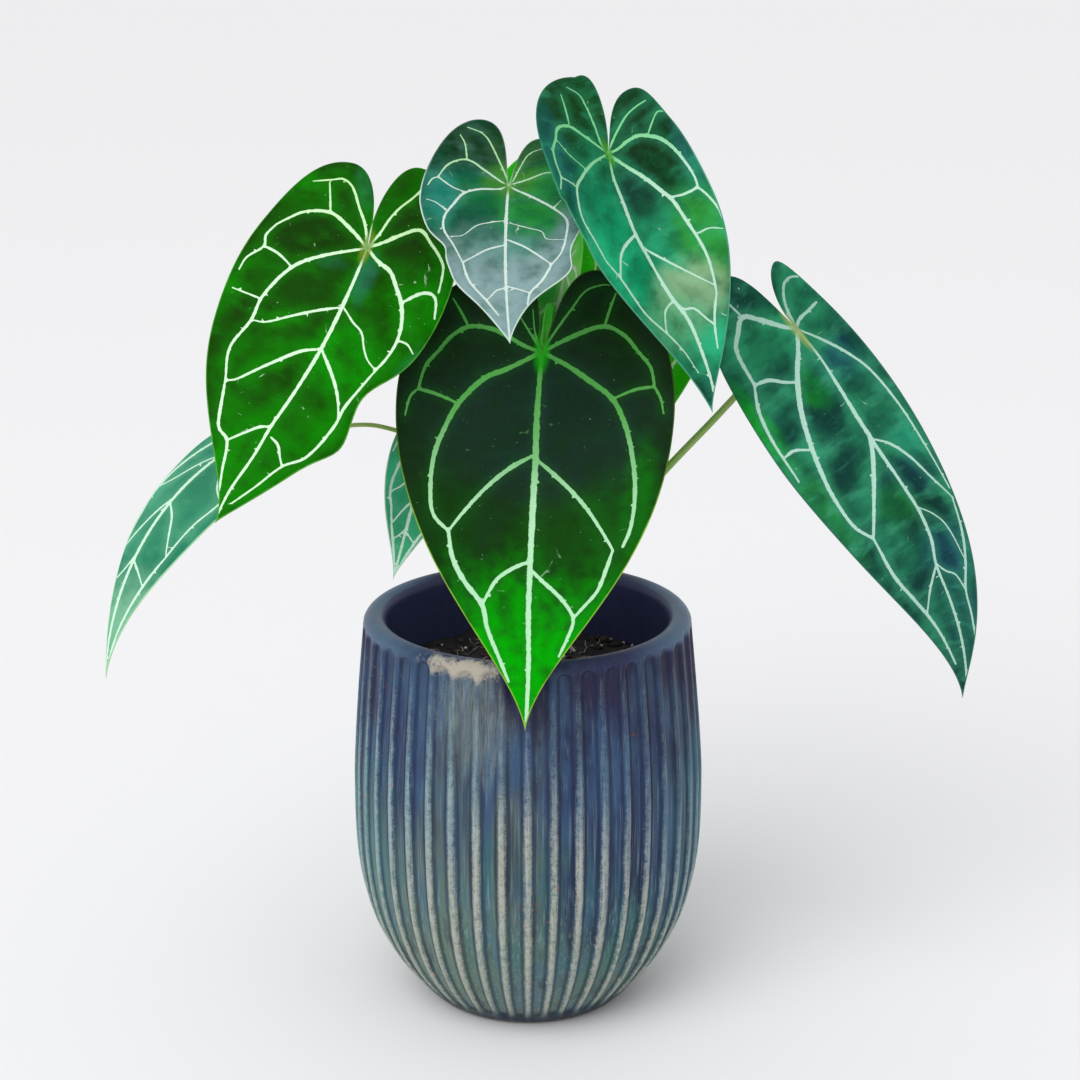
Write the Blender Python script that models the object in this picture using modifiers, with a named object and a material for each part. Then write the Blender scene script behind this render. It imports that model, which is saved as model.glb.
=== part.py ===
"""Crystal anthurium (Anthurium crystallinum) growing in a ribbed, glazed ceramic pot.

Metres, +Z up. The origin is the middle of the pot's flat foot. +X is the plant's right and -Y is the side
that its best leaves face. Leaf sizes and places below are in millimetres and degrees.
"""

from math import cos, exp, pi, radians, sin, tan
from random import Random

import bmesh
import bpy
from mathutils import Matrix, Vector
from mathutils.geometry import interpolate_bezier

MM = 0.001
GAP = 0.3            # clearance between pieces that touch

# Pot
POT_HEIGHT = 202.0
FOOT_RADIUS = 49.0
BELLY_RADIUS = 87.6
BELLY_HEIGHT = 120.0
BELLY_POWER = 3.3    # how fast the wall opens above the foot
SHOULDER_DROP = 6.6  # how much the wall closes again from belly to top
SHOULDER_POWER = 1.4
LIP_HEIGHT = 196.0   # centre of the rounded lip
INNER_RADIUS = 70.0
FLOOR_HEIGHT = 16.0
RIB_COUNT = 43
FIRST_RIB = 2.3      # turn of the first rib, in degrees
RIB_DEPTH = 1.7
RIB_START = 5.0      # the ribs run out towards the foot ...
RIB_END = 192.0      # ... and below the smooth lip
RIB_FADE = 5.0
FLUTE_EDGE = 0.26    # where the hollow between two ribs begins, as a part of their spacing
WALL_THICKNESS = 9.0
OUTER_HEIGHTS = (0, 5, 10, 28, 52, 84, 120, 154, 187, 192, 196)
LIP_TURNS = (35, 70, 110, 145, 180)   # degrees round the rolled lip
INNER_HEIGHTS = (76, 36, 16)

# Soil and stem
SOIL_HEIGHT = 168.0
SOIL_RELIEF = 2.2
SOIL_SIDES = 48
SOIL_WALL = (36.0, 76.0, 168.0)
SOIL_TOP = (56.0, 40.0, 24.0)   # rings of uneven ground
STEM_RADIUS = 9.5
STEM_BOTTOM = 128.0
STEM_TOP = 203.0
STEM_SIDES = 24
STEM_DOME_HEIGHT = 6.0
STEM_DOME = (0, 30, 55, 75)

# Leaves
BLADE_THICKNESS = 0.8
KEEL_THICKNESS = 1.9      # blade and midrib together, at the petiole
KEEL_AT_TIP = 0.25        # how much of the midrib's extra thickness is left at the tip
ROWS_LOBE = 6             # rows of faces round a basal lobe, and from the petiole to the tip
ROWS_BLADE = 13
COLUMNS = (0, 0.05, 0.35, 0.68, 1)   # columns of points, from the midrib to the margin
RUFFLES = 2.0             # waves of the margin along a blade
RUFFLE_PHASE = (0.0, 0.37)
SINUS_REACH = 0.25        # how the sinus and the lobes are drawn: reaches of their curves' handles
SINUS_DEPTH = 0.45
LOBE_REACH = 0.6
LOBE_FULL = 0.5
DRIP_WIDTH = 0.1          # the margin's last handle, as a part of the half width
JOINT_BELOW = 2.5         # the petiole meets the blade this far below its sinus
ELBOW_LENGTH = 9.0        # the petiole's last straight stretch
STRETCH_STEPS = 3         # faces between two points of a petiole's route

# Each leaf hangs from its petiole point "at". Its halves are given left, right as seen on its upper face:
# half the width, height of the basal lobe, where the lobe's crest lies (as a part of the half width), how
# far below the petiole the leaf is broadest, how full the margin stays below that, and how long the
# drip tip is drawn out (both as parts of the rest of the length). "sinus" is how far each lobe keeps off
# the midrib's line above the petiole, as a part of the half width, and "cast" leans both lobes sideways.
# "swells" are bulges or hollows of the margin: half, distance down the blade, reach along it, and size.
# It hangs straight down facing the front until it is turned: "face" about its midrib, "tilt" forwards and
# up, "lean" sideways, "heading" about the vertical. Along the blade it bends by "droop" (tip back), "sway"
# (tip sideways) and "twist"; "nod" bends the lobes back. "fold" and "curl" raise both halves off the midrib.
LEAVES = {
    "front": dict(at=(7, -50, 343.5), length=175, half=(65, 63), lobe=(37, 40), crest=(0.30, 0.30),
                  broad=(25, 26), full=(0.46, 0.51), drip=(0.20, 0.21), sinus=(0.0, 0.0), cast=5,
                  heading=0, lean=-5, tilt=18, face=4, droop=8, sway=-4, twist=0, nod=0, fold=1, curl=5,
                  ruffle=1.0),
    "centre": dict(at=(-8, -54, 420.5), length=97, half=(39, 37), lobe=(39, 30), crest=(0.42, 0.30),
                   broad=(14, 14), full=(0.28, 0.40), drip=(0.12, 0.22), sinus=(0.06, 0.05), cast=2,
                   heading=0, lean=-6, tilt=58, face=6, droop=5, sway=-8, twist=0, nod=-12, fold=7, curl=1,
                   ruffle=0.8, swells=((1, 60, 10, 8), (0, 42, 6, -3.5), (0, 64, 9, 3))),
    "crown": dict(at=(36.5, -52, 434.5), length=128, half=(41, 38), lobe=(45, 24), crest=(0.30, 0.30),
                  broad=(20, 36), full=(0.30, 0.47), drip=(0.32, 0.12), sinus=(-0.23, 0.16), cast=16,
                  heading=0, lean=24, tilt=32, face=-20, droop=40, sway=-12, twist=0, nod=3, fold=22,
                  curl=20, ruffle=1.0, swells=((0, 12, 22, -2.5), (0, 36, 8, -2))),
    "left": dict(at=(-72, -52, 392), length=143, half=(56, 43), lobe=(37, 41), crest=(0.30, 0.34),
                 broad=(35, 11), full=(0.60, 0.40), drip=(0.15, 0.11), sinus=(0.03, -0.12), cast=-2,
                 heading=0, lean=-21, tilt=25, face=15, droop=0, sway=18, twist=0, nod=-12, fold=0, curl=-5,
                 ruffle=1.0, swells=((1, 62, 13, -7), (1, 88, 9, 4))),
    "right": dict(at=(127, -20, 348), length=229, half=(48, 26), lobe=(43, 30), crest=(0.35, 0.22),
                  broad=(46, 55), full=(0.34, 0.50), drip=(0.21, 0.18), sinus=(0.04, -0.06), cast=6,
                  heading=0, lean=41.5, tilt=20, face=5, droop=50, sway=38, twist=0, nod=0, fold=20, curl=18,
                  ruffle=1.4, swells=((1, 70, 55, 2),)),
    "low_left": dict(at=(-116, -14, 299), length=161, half=(24, 46), lobe=(15, 14), crest=(0.45, 0.45),
                     broad=(8, 32), full=(0.35, 0.46), drip=(0.26, 0.20), sinus=(0.05, 0.05), cast=0,
                     heading=-50, lean=3, tilt=87, face=-2, droop=77, sway=-9, twist=0, nod=0, fold=0,
                     curl=-1, ruffle=1.0),
    "low_back": dict(at=(-46, -27, 297), length=72, half=(17, 18), lobe=(12, 14), crest=(0.45, 0.45),
                     broad=(12, 10), full=(0.45, 0.45), drip=(0.20, 0.20), sinus=(0.05, 0.05), cast=0,
                     heading=0, lean=-15, tilt=8, face=0, droop=8, sway=0, twist=0, nod=0, fold=6, curl=6,
                     ruffle=0.5),
    "back": dict(at=(32.5, 12, 398), length=155, half=(56, 60), lobe=(30, 30), crest=(0.45, 0.45),
                 broad=(22, 24), full=(0.45, 0.50), drip=(0.20, 0.20), sinus=(0.05, 0.05), cast=0,
                 heading=0, lean=2, tilt=-2, face=0, droop=6, sway=0, twist=0, nod=5, fold=4, curl=6,
                 ruffle=1.0),
    "young": dict(at=(18, -18, 375), length=62, half=(22, 18), lobe=(23, 20), crest=(0.40, 0.40),
                  broad=(10, 10), full=(0.45, 0.45), drip=(0.20, 0.20), sinus=(0.04, 0.04), cast=0,
                  heading=0, lean=-10, tilt=4, face=30, droop=6, sway=0, twist=0, nod=0, fold=35, curl=5,
                  ruffle=0.5),
}

# Petioles: where each one leaves the stem (degrees about it, and height), the points it passes on its way,
# the direction in which it meets the blade, and its radius at the stem and at the blade.
PETIOLES = {
    "front": dict(foot=(-78, 184), route=[(4, -17, 240), (7, -22, 300), (10, -27, 346), (10.5, -33, 361)],
                  meets=(-0.15, -0.80, -0.58), radius=(2.4, 1.9)),
    "centre": dict(foot=(-116, 192), route=[(-9, -20, 250), (-13, -27, 320), (-13, -32, 372), (-11, -42, 398)],
                   meets=(0.15, -0.40, 0.90), radius=(2.2, 1.7)),
    "crown": dict(foot=(-36, 190), route=[(17, -17, 240), (28, -24, 320), (35, -29, 385), (37.5, -38, 408)],
                  meets=(0, -0.57, 0.81), radius=(2.4, 1.8)),
    "left": dict(foot=(-152, 186), route=[(-18, -13, 240), (-32, -20, 300), (-52, -28, 346), (-65, -36, 366)],
                 meets=(-0.25, -0.62, 0.74), radius=(2.4, 1.8)),
    "right": dict(foot=(4, 188), route=[(28, -6, 225), (60, -14, 270), (92, -15, 306), (114, -12, 330)],
                  meets=(0.42, -0.75, 0.50), radius=(2.4, 1.7)),
    "low_left": dict(foot=(168, 192), route=[(-20, -3, 240), (-42, -6, 283), (-70, -10, 298), (-96, -10, 297)],
                     meets=(-0.75, -0.35, 0.55), radius=(1.6, 1.2)),
    "low_back": dict(foot=(124, 184), route=[(-14, 6, 225), (-24, 0, 262), (-35, -9, 281), (-42, -16, 288)],
                     meets=(-0.30, -0.85, 0.43), radius=(1.5, 1.2)),
    "back": dict(foot=(80, 190), route=[(8, 19, 250), (16, 27, 320), (26, 32, 368), (31, 28, 386)],
                 meets=(0, -0.85, 0.52), radius=(2.4, 1.8)),
    "young": dict(foot=(44, 186), route=[(14, 4, 230), (18, 2, 290), (21, 0, 340), (21, -4, 358)],
                  meets=(-0.25, -0.80, 0.50), radius=(1.7, 1.4)),
}

# Colour and roughness of each material
GLAZE = ((0.085, 0.115, 0.19), 0.35)
MIX = ((0.035, 0.026, 0.020), 0.95)
BARK = ((0.12, 0.10, 0.045), 0.80)
STALK = ((0.16, 0.36, 0.05), 0.45)
LEAF_COLOURS = {
    "front": (0.010, 0.110, 0.020), "centre": (0.060, 0.150, 0.120), "crown": (0.015, 0.130, 0.080),
    "left": (0.008, 0.150, 0.012), "right": (0.010, 0.100, 0.060), "low_left": (0.025, 0.200, 0.120),
    "low_back": (0.030, 0.230, 0.130), "back": (0.020, 0.220, 0.010), "young": (0.060, 0.240, 0.120),
}
BLADE_ROUGHNESS = 0.55


def clear_scene():
    """Start from an empty file."""
    for thing in list(bpy.data.objects):
        bpy.data.objects.remove(thing)


def new_collection(name):
    """A collection for the pieces, linked to the scene."""
    collection = bpy.data.collections.new(name)
    bpy.context.scene.collection.children.link(collection)
    return collection


def finish(name, data, collection, colour, roughness):
    """Make a piece from its mesh or curve, with its own material."""
    piece = bpy.data.objects.new(name, data)
    collection.objects.link(piece)
    material = bpy.data.materials.new(name)
    material.use_nodes = True
    shader = material.node_tree.nodes["Principled BSDF"]
    shader.inputs["Base Color"].default_value = (*colour, 1.0)
    shader.inputs["Roughness"].default_value = roughness
    data.materials.append(material)
    return piece


def closed_body(name, start, rings, end):
    """Skin a body over rings of points, closed by a fan to one point at each end.

    The rings run counter-clockwise seen from above, from the underside out, up and back in over the top.
    """
    shape = bmesh.new()
    first = shape.verts.new(Vector(start) * MM)
    last = shape.verts.new(Vector(end) * MM)
    loops = [[shape.verts.new(Vector(point) * MM) for point in ring] for ring in rings]
    count = len(loops[0])
    for i in range(count):
        j = (i + 1) % count
        shape.faces.new((first, loops[0][j], loops[0][i]))
        shape.faces.new((last, loops[-1][i], loops[-1][j]))
        for lower, upper in zip(loops, loops[1:]):
            shape.faces.new((lower[i], lower[j], upper[j], upper[i]))
    mesh = bpy.data.meshes.new(name)
    shape.to_mesh(mesh)
    shape.free()
    return mesh


def smooth(mesh, sharp_angle):
    """Shade the piece smooth except across edges sharper than this angle."""
    mesh.shade_smooth()
    mesh.set_sharp_from_angle(angle=radians(sharp_angle))


def circle(radius, height, sides):
    """A level ring of points."""
    turns = [2 * pi * i / sides for i in range(sides)]
    return [(radius * cos(turn), radius * sin(turn), height) for turn in turns]


def wall_radius(height):
    """Outer radius of the pot at the tops of its ribs."""
    if height < BELLY_HEIGHT:
        return FOOT_RADIUS + (BELLY_RADIUS - FOOT_RADIUS) * (1 - (1 - height / BELLY_HEIGHT) ** BELLY_POWER)
    rise = (height - BELLY_HEIGHT) / (POT_HEIGHT - BELLY_HEIGHT)
    return BELLY_RADIUS - SHOULDER_DROP * rise ** SHOULDER_POWER


def inner_radius(height):
    """Inner radius of the pot: straight from the lip, closing in over the foot."""
    return min(INNER_RADIUS, wall_radius(height) - WALL_THICKNESS)


def ribbed_ring(height):
    """One ring of the pot's outside: a narrow crest, then a wide flute, for each rib."""
    fade = max(0.0, min(1.0, (height - RIB_START) / RIB_FADE, (RIB_END - height) / RIB_FADE))
    period = 2 * pi / RIB_COUNT
    ring = []
    for rib in range(RIB_COUNT):
        for place, depth in ((0.0, 0.0), (FLUTE_EDGE, RIB_DEPTH), (1 - FLUTE_EDGE, RIB_DEPTH)):
            turn = radians(FIRST_RIB) + (rib + place) * period
            radius = wall_radius(height) - depth * fade
            ring.append((radius * cos(turn), radius * sin(turn), height))
    return ring


def add_pot(collection):
    """The pot: ribbed outside, rolled lip, plain inside with a closed floor."""
    rings = [ribbed_ring(height) for height in OUTER_HEIGHTS]
    lip_width = (wall_radius(LIP_HEIGHT) - INNER_RADIUS) / 2
    lip_middle = INNER_RADIUS + lip_width
    for degrees in LIP_TURNS:
        turn = radians(degrees)
        reach = lip_middle + lip_width * cos(turn)
        top = LIP_HEIGHT + (POT_HEIGHT - LIP_HEIGHT) * sin(turn)
        rings.append(spaced_like_ribs(reach, top))
    rings += [spaced_like_ribs(inner_radius(height), height) for height in INNER_HEIGHTS]
    mesh = closed_body("pot", (0, 0, 0), rings, (0, 0, FLOOR_HEIGHT))
    smooth(mesh, 50)
    finish("pot", mesh, collection, *GLAZE)


def spaced_like_ribs(radius, height):
    """A level ring whose points stand in line with those of the ribbed rings."""
    ring = []
    for x, y, z in ribbed_ring(BELLY_HEIGHT):
        direction = Vector((x, y)).normalized()
        ring.append((radius * direction.x, radius * direction.y, height))
    return ring


def add_soil(collection):
    """The soil: fills the pot, uneven on top, with a plain hole that the stem stands in."""
    draws = Random(4)
    bottom = FLOOR_HEIGHT + GAP
    rings = [circle(inner_radius(bottom) - GAP, bottom, SOIL_SIDES)]
    rings += [circle(inner_radius(height) - GAP, height, SOIL_SIDES) for height in SOIL_WALL]
    for radius in SOIL_TOP:
        top = circle(radius, SOIL_HEIGHT, SOIL_SIDES)
        rings.append([(x, y, z + draws.uniform(-SOIL_RELIEF, SOIL_RELIEF)) for x, y, z in top])
    hole = STEM_RADIUS + GAP
    rings.append(circle(hole, SOIL_HEIGHT, SOIL_SIDES))
    rings.append(circle(hole, STEM_BOTTOM - GAP, SOIL_SIDES))
    mesh = closed_body("soil", (0, 0, bottom), rings, (0, 0, STEM_BOTTOM - GAP))
    smooth(mesh, 35)
    finish("soil", mesh, collection, *MIX)


def add_stem(collection):
    """The plant's short upright stem with a rounded top."""
    rings = [circle(STEM_RADIUS, STEM_BOTTOM, STEM_SIDES)]
    for degrees in STEM_DOME:
        turn = radians(degrees)
        height = STEM_TOP - STEM_DOME_HEIGHT * (1 - sin(turn))
        rings.append(circle(STEM_RADIUS * cos(turn), height, STEM_SIDES))
    mesh = closed_body("stem", (0, 0, STEM_BOTTOM), rings, (0, 0, STEM_TOP))
    smooth(mesh, 50)
    finish("stem", mesh, collection, *BARK)


def along_midrib(leaf, down):
    """The blade's turn (across, down, out of its upper face) and its midrib's place, this far down it."""
    base = Matrix.Rotation(radians(leaf["heading"]), 3, "Z")
    base @= Matrix.Rotation(-radians(leaf["lean"]), 3, "Y")
    base @= Matrix.Rotation(-radians(leaf["tilt"]), 3, "X")
    base @= Matrix(((1, 0, 0), (0, 0, -1), (0, -1, 0)))
    base @= Matrix.Rotation(-radians(leaf["face"]), 3, "Y")
    bend = Vector((-leaf["droop"], leaf["twist"], leaf["sway"])) * down / leaf["length"]
    if down < 0:
        bend.x -= leaf["nod"] * down / max(leaf["lobe"])
    angle = radians(bend.length)
    turn = Matrix.Identity(3)
    mean = Matrix.Identity(3)
    if angle > 0:
        x, y, z = bend.normalized()
        cross = Matrix(((0, -z, y), (z, 0, -x), (-y, x, 0)))
        turn = turn + cross * sin(angle) + cross @ cross * (1 - cos(angle))
        mean = mean + cross * ((1 - cos(angle)) / angle) + cross @ cross * (1 - sin(angle) / angle)
    place = Vector(leaf["at"]) + base @ mean @ Vector((0, down, 0))
    return base @ turn, place


def on_blade(leaf, across, down):
    """The point of a blade's middle surface at this place of its flat outline."""
    side = 0 if across < 0 else 1
    sign = -1 if across < 0 else 1
    half = leaf["half"][side]
    share = abs(across) / half
    fold = radians(leaf["fold"])
    curl = radians(leaf["curl"])
    out = half / curl * (sin(fold + curl * share) - sin(fold))
    rise = half / curl * (cos(fold) - cos(fold + curl * share))
    wave = sin(2 * pi * (RUFFLES * down / leaf["length"] + RUFFLE_PHASE[side]))
    rise += leaf["ruffle"] * share ** 2 * wave
    turn, place = along_midrib(leaf, down)
    return place + turn @ Vector((sign * out, 0, rise))


def swelling(leaf, side, down):
    """How far the margin swells out, or in, this far down the blade."""
    total = 0.0
    for half, place, reach, size in leaf.get("swells", ()):
        if half == side:
            total += size * exp(-((down - place) / reach) ** 2)
    return total


def half_outline(leaf, side):
    """Matching rows of flat points for one half of a blade: sinus and midrib, and margin."""
    half = leaf["half"][side]
    lobe = leaf["lobe"][side]
    crest = leaf["crest"][side] * half
    broad = leaf["broad"][side]
    length = leaf["length"]
    rest = length - broad
    top = Vector((crest, -lobe))
    widest = Vector((half, broad))
    tip = Vector((0, length))
    petiole = Vector((0, 0))
    sinus = interpolate_bezier(top, Vector((SINUS_REACH * crest, -lobe)),
                               Vector((leaf["sinus"][side] * half, -SINUS_DEPTH * lobe)), petiole, ROWS_LOBE + 1)
    midrib = [petiole.lerp(tip, row / ROWS_BLADE) for row in range(ROWS_BLADE + 1)]
    crown = interpolate_bezier(top, Vector((crest + LOBE_REACH * (half - crest), -lobe)),
                               Vector((half, broad - LOBE_FULL * (broad + lobe))), widest, ROWS_LOBE + 1)
    drip = length * (1 - leaf["drip"][side])
    margin = interpolate_bezier(widest, Vector((half, broad + leaf["full"][side] * rest)),
                                Vector((DRIP_WIDTH * half, drip)), tip, ROWS_BLADE + 1)
    for point in margin:
        point.x += swelling(leaf, side, point.y)
    inner = sinus + midrib[1:]
    outer = crown + margin[1:]
    sign = -1 if side == 0 else 1
    slope = tan(radians(leaf["cast"])) / lobe
    return [[Vector((sign * x + slope * min(y, 0) ** 2, y)) for x, y in line] for line in (inner, outer)]


def add_blade(name, leaf, collection):
    """One leaf blade: a thin body with two basal lobes, a drip tip and a thicker midrib."""
    shape = bmesh.new()
    weights = shape.verts.layers.deform.verify()
    midrib = {}
    for side in (0, 1):
        inner, outer = half_outline(leaf, side)
        grid = []
        last = len(inner) - 1
        for row, (start, stop) in enumerate(zip(inner, outer)):
            line = []
            for column in COLUMNS:
                shared = column == 0 and row >= ROWS_LOBE
                if line and row in (0, last):
                    point = line[0]
                elif shared and row in midrib:
                    point = midrib[row]
                else:
                    across, down = start.lerp(stop, column)
                    point = shape.verts.new(on_blade(leaf, across, down) * MM)
                if shared:
                    midrib[row] = point
                    part = (row - ROWS_LOBE) / ROWS_BLADE
                    point[weights][0] = 1 - (1 - KEEL_AT_TIP) * part
                line.append(point)
            grid.append(line)
        for upper, lower in zip(grid, grid[1:]):
            for i in range(len(COLUMNS) - 1):
                j = i + 1
                for corners in ((upper[i], lower[i], lower[j]), (upper[i], lower[j], upper[j])):
                    if len(set(corners)) == 3:
                        shape.faces.new(corners if side == 1 else corners[::-1])
    mesh = bpy.data.meshes.new("blade_" + name)
    shape.to_mesh(mesh)
    shape.free()
    mesh.shade_smooth()
    blade = finish("blade_" + name, mesh, collection, LEAF_COLOURS[name], BLADE_ROUGHNESS)
    blade.vertex_groups.new(name="midrib")
    body = blade.modifiers.new("thickness", "SOLIDIFY")
    body.thickness = KEEL_THICKNESS * MM
    body.offset = 0
    body.vertex_group = "midrib"
    body.thickness_vertex_group = BLADE_THICKNESS / KEEL_THICKNESS


def petiole_route(leaf, petiole):
    """The middle line of a petiole, from its foot beside the stem to just behind its blade."""
    thick, thin = petiole["radius"]
    turn, height = petiole["foot"]
    ring = STEM_RADIUS + GAP + thick
    foot = Vector((ring * cos(radians(turn)), ring * sin(radians(turn)), height))
    frame, place = along_midrib(leaf, JOINT_BELOW)
    heading = Vector(petiole["meets"]).normalized()
    face = frame.col[2]
    edge = thin * sin(face.angle(heading))
    joint = place - face * (KEEL_THICKNESS / 2 + GAP + edge)
    points = [foot] + [Vector(point) for point in petiole["route"]] + [joint - heading * ELBOW_LENGTH, joint]
    ahead = [points[1] - points[0]]
    ahead += [after - before for before, after in zip(points, points[2:])]
    ahead.append(heading)
    line = []
    for i in range(len(points) - 1):
        reach = (points[i + 1] - points[i]).length / 3
        out = points[i] + ahead[i].normalized() * reach
        back = points[i + 1] - ahead[i + 1].normalized() * reach
        line += interpolate_bezier(points[i], out, back, points[i + 1], STRETCH_STEPS + 1)[:-1]
    return line + [points[-1]]


def add_petiole(name, leaf, petiole, collection):
    """One leaf stalk: a slim tube that thins towards the blade."""
    thick, thin = petiole["radius"]
    line = petiole_route(leaf, petiole)
    tube = bpy.data.curves.new("petiole_" + name, "CURVE")
    tube.dimensions = "3D"
    tube.bevel_depth = thick * MM
    tube.bevel_resolution = 2
    tube.use_fill_caps = True
    spline = tube.splines.new("POLY")
    spline.points.add(len(line) - 1)
    for i, point in enumerate(line):
        spline.points[i].co = (*(point * MM), 1)
        spline.points[i].radius = 1 + (thin / thick - 1) * i / (len(line) - 1)
    finish("petiole_" + name, tube, collection, *STALK)


clear_scene()
anthurium = new_collection("crystal_anthurium")
add_pot(anthurium)
add_soil(anthurium)
add_stem(anthurium)
for leaf_name, leaf_shape in LEAVES.items():
    add_petiole(leaf_name, leaf_shape, PETIOLES[leaf_name], anthurium)
    add_blade(leaf_name, leaf_shape, anthurium)
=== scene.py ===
"""The looks of a crystal anthurium in a ribbed, glazed pot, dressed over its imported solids."""

from math import cos, pi, radians, sin, tan
from random import Random

import bpy
import numpy as np
from mathutils import Matrix, Vector, noise
from mathutils.geometry import delaunay_2d_cdt, interpolate_bezier


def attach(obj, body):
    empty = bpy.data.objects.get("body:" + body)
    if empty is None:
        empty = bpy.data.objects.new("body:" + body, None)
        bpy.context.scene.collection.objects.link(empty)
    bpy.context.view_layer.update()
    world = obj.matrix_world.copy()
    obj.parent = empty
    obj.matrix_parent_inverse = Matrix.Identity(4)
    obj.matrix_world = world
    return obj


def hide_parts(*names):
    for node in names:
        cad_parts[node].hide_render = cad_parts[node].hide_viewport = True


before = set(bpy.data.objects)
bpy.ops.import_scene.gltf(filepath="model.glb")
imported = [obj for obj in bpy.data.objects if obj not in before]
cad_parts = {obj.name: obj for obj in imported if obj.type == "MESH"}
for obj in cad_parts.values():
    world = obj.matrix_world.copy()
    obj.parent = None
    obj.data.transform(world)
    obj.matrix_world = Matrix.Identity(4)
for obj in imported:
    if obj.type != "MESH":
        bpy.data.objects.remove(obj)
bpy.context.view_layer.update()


# ---- Pot ------------------------------------------------------------------------------------------------
# One stoneware body, thrown and fluted by hand: forty-three narrow ribs with hollows between them that end in
# rounded tops below a smooth rolled lip. Slate-blue glaze breaks pale over the ribs and pools teal below.
# Painted highlights lie on the crests, on the pot's sides and on the lip's ends, and painted shade lies down
# each rib's sides.

MM = 0.001


class Wire:
    """A socket in a material. Sums on it add Math nodes, and its methods add the rest."""

    def __init__(self, tree, socket=None):
        self.tree = tree
        self.socket = socket

    def node(self, kind, settings=None, sockets=None, out=0):
        """Add any node: its settings first, then its sockets."""
        made = self.tree.nodes.new("ShaderNode" + kind)
        for name, value in (settings or {}).items():
            setattr(made, name, value)
        feed(made, sockets or {})
        return Wire(self.tree, made.outputs[out])

    def maths(self, operation, first, second):
        return self.node("Math", {"operation": operation}, {0: first, 1: second})

    def __add__(self, other):
        return self.maths("ADD", self, other)

    __radd__ = __add__

    def __mul__(self, other):
        return self.maths("MULTIPLY", self, other)

    __rmul__ = __mul__

    def __sub__(self, other):
        return self.maths("SUBTRACT", self, other)

    def __rsub__(self, other):
        return self.maths("SUBTRACT", other, self)

    def rise(self, low, high):
        """0 below low, 1 above high, smooth between them. It falls where low is above high."""
        return self.node("MapRange", {"interpolation_type": "SMOOTHSTEP"},
                         {"Value": self, "From Min": low, "From Max": high})

    def mix(self, start, end):
        """A colour that goes from start to end as this mask goes from 0 to 1."""
        return self.node("Mix", {"data_type": "RGBA"}, {0: self, 6: start, 7: end}, 2)

    def axis(self, letter):
        return self.node("SeparateXYZ", None, {0: self}, letter)

    def vector(self, operation, other):
        return self.node("VectorMath", {"operation": operation}, {0: self, 1: other})

    def scaled(self, factor):
        return self.node("VectorMath", {"operation": "SCALE"}, {0: self, "Scale": factor})

    def length(self):
        return self.node("VectorMath", {"operation": "LENGTH"}, {0: self}, "Value")

    def away(self, centre, reach):
        """How far this place is from a centre, in reaches along each axis."""
        return self.vector("SUBTRACT", centre).vector("DIVIDE", reach).length()

    def speckle(self, size, detail=2.0, stretch=(1, 1, 1)):
        """Even noise from 0 to 1 over this place, with features of this many millimetres."""
        spread = self.vector("MULTIPLY", stretch)
        return self.node("TexNoise", None, {"Vector": spread, "Scale": 1 / size, "Detail": detail})

    def stored(self, name, out="Fac"):
        """What is stored under this name on the points of the piece."""
        return self.node("Attribute", {"attribute_name": name}, None, out)


def colour(code):
    """The linear colour of a paint code such as 4a5a80."""
    parts = [int(code[i:i + 2], 16) / 255 for i in (0, 2, 4)]
    return tuple(p / 12.92 if p < 0.04045 else ((p + 0.055) / 1.055) ** 2.4 for p in parts) + (1.0,)


def feed(node, sockets):
    """Set a node's sockets to wires, paint codes or plain values."""
    for name, value in sockets.items():
        if isinstance(value, Wire):
            value.tree.links.new(value.socket, node.inputs[name])
        else:
            node.inputs[name].default_value = colour(value) if isinstance(value, str) else value


def new_finish(name):
    """A new material: its first wire, which adds nodes to it, and its shader."""
    material = bpy.data.materials.new(name)
    material.use_nodes = True
    return material, Wire(material.node_tree), material.node_tree.nodes["Principled BSDF"]


def coat(shader, body, rough, relief, strength, depth, shine=0.5):
    """Give a shader its colour, its roughness and a fine relief this many millimetres deep."""
    sockets = {"Strength": strength, "Distance": depth * MM, "Height": relief}
    bump = relief.node("Bump", None, sockets, "Normal")
    feed(shader, {"Base Color": body, "Roughness": rough, "Normal": bump, "Specular IOR Level": shine})


def in_millimetres(wire):
    """The place on the piece, in millimetres from the middle of the pot's foot."""
    return wire.node("TexCoord", None, None, "Object").scaled(1 / MM)


def put(name, points, faces, materials, slot, node=None, numbers=None, sharp=None, which=None):
    """Make a piece from points in millimetres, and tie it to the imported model."""
    mesh = bpy.data.meshes.new(name)
    mesh.from_pydata((np.asarray(points, float) * MM).tolist(), [], faces)
    for label, values in (numbers or {}).items():
        values = np.asarray(values, np.float32)
        kind, field = ("FLOAT", "value") if values.ndim == 1 else ("FLOAT_VECTOR", "vector")
        mesh.attributes.new(label, kind, "POINT").data.foreach_set(field, values.ravel())
    for material in materials:
        mesh.materials.append(material)
    if which is not None:
        mesh.polygons.foreach_set("material_index", np.asarray(which, np.int32))
    mesh.shade_smooth()
    if sharp:
        mesh.set_sharp_from_angle(angle=radians(sharp))
    made = bpy.data.objects.new(name, mesh)
    bpy.context.scene.collection.objects.link(made)
    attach(made, "root")
    if node:
        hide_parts(node)
    return made


def skin(rings):
    """Points and faces over a stack of closed rings, with a cap on each end."""
    rows, sides = rings.shape[:2]
    here = np.arange(rows * sides).reshape(rows, sides)
    after = np.roll(here, -1, axis=1)
    quads = np.stack([here[:-1], after[:-1], after[1:], here[1:]], axis=-1).reshape(-1, 4)
    return rings.reshape(-1, 3), quads.tolist() + [here[0, ::-1].tolist(), here[-1].tolist()]


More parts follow.
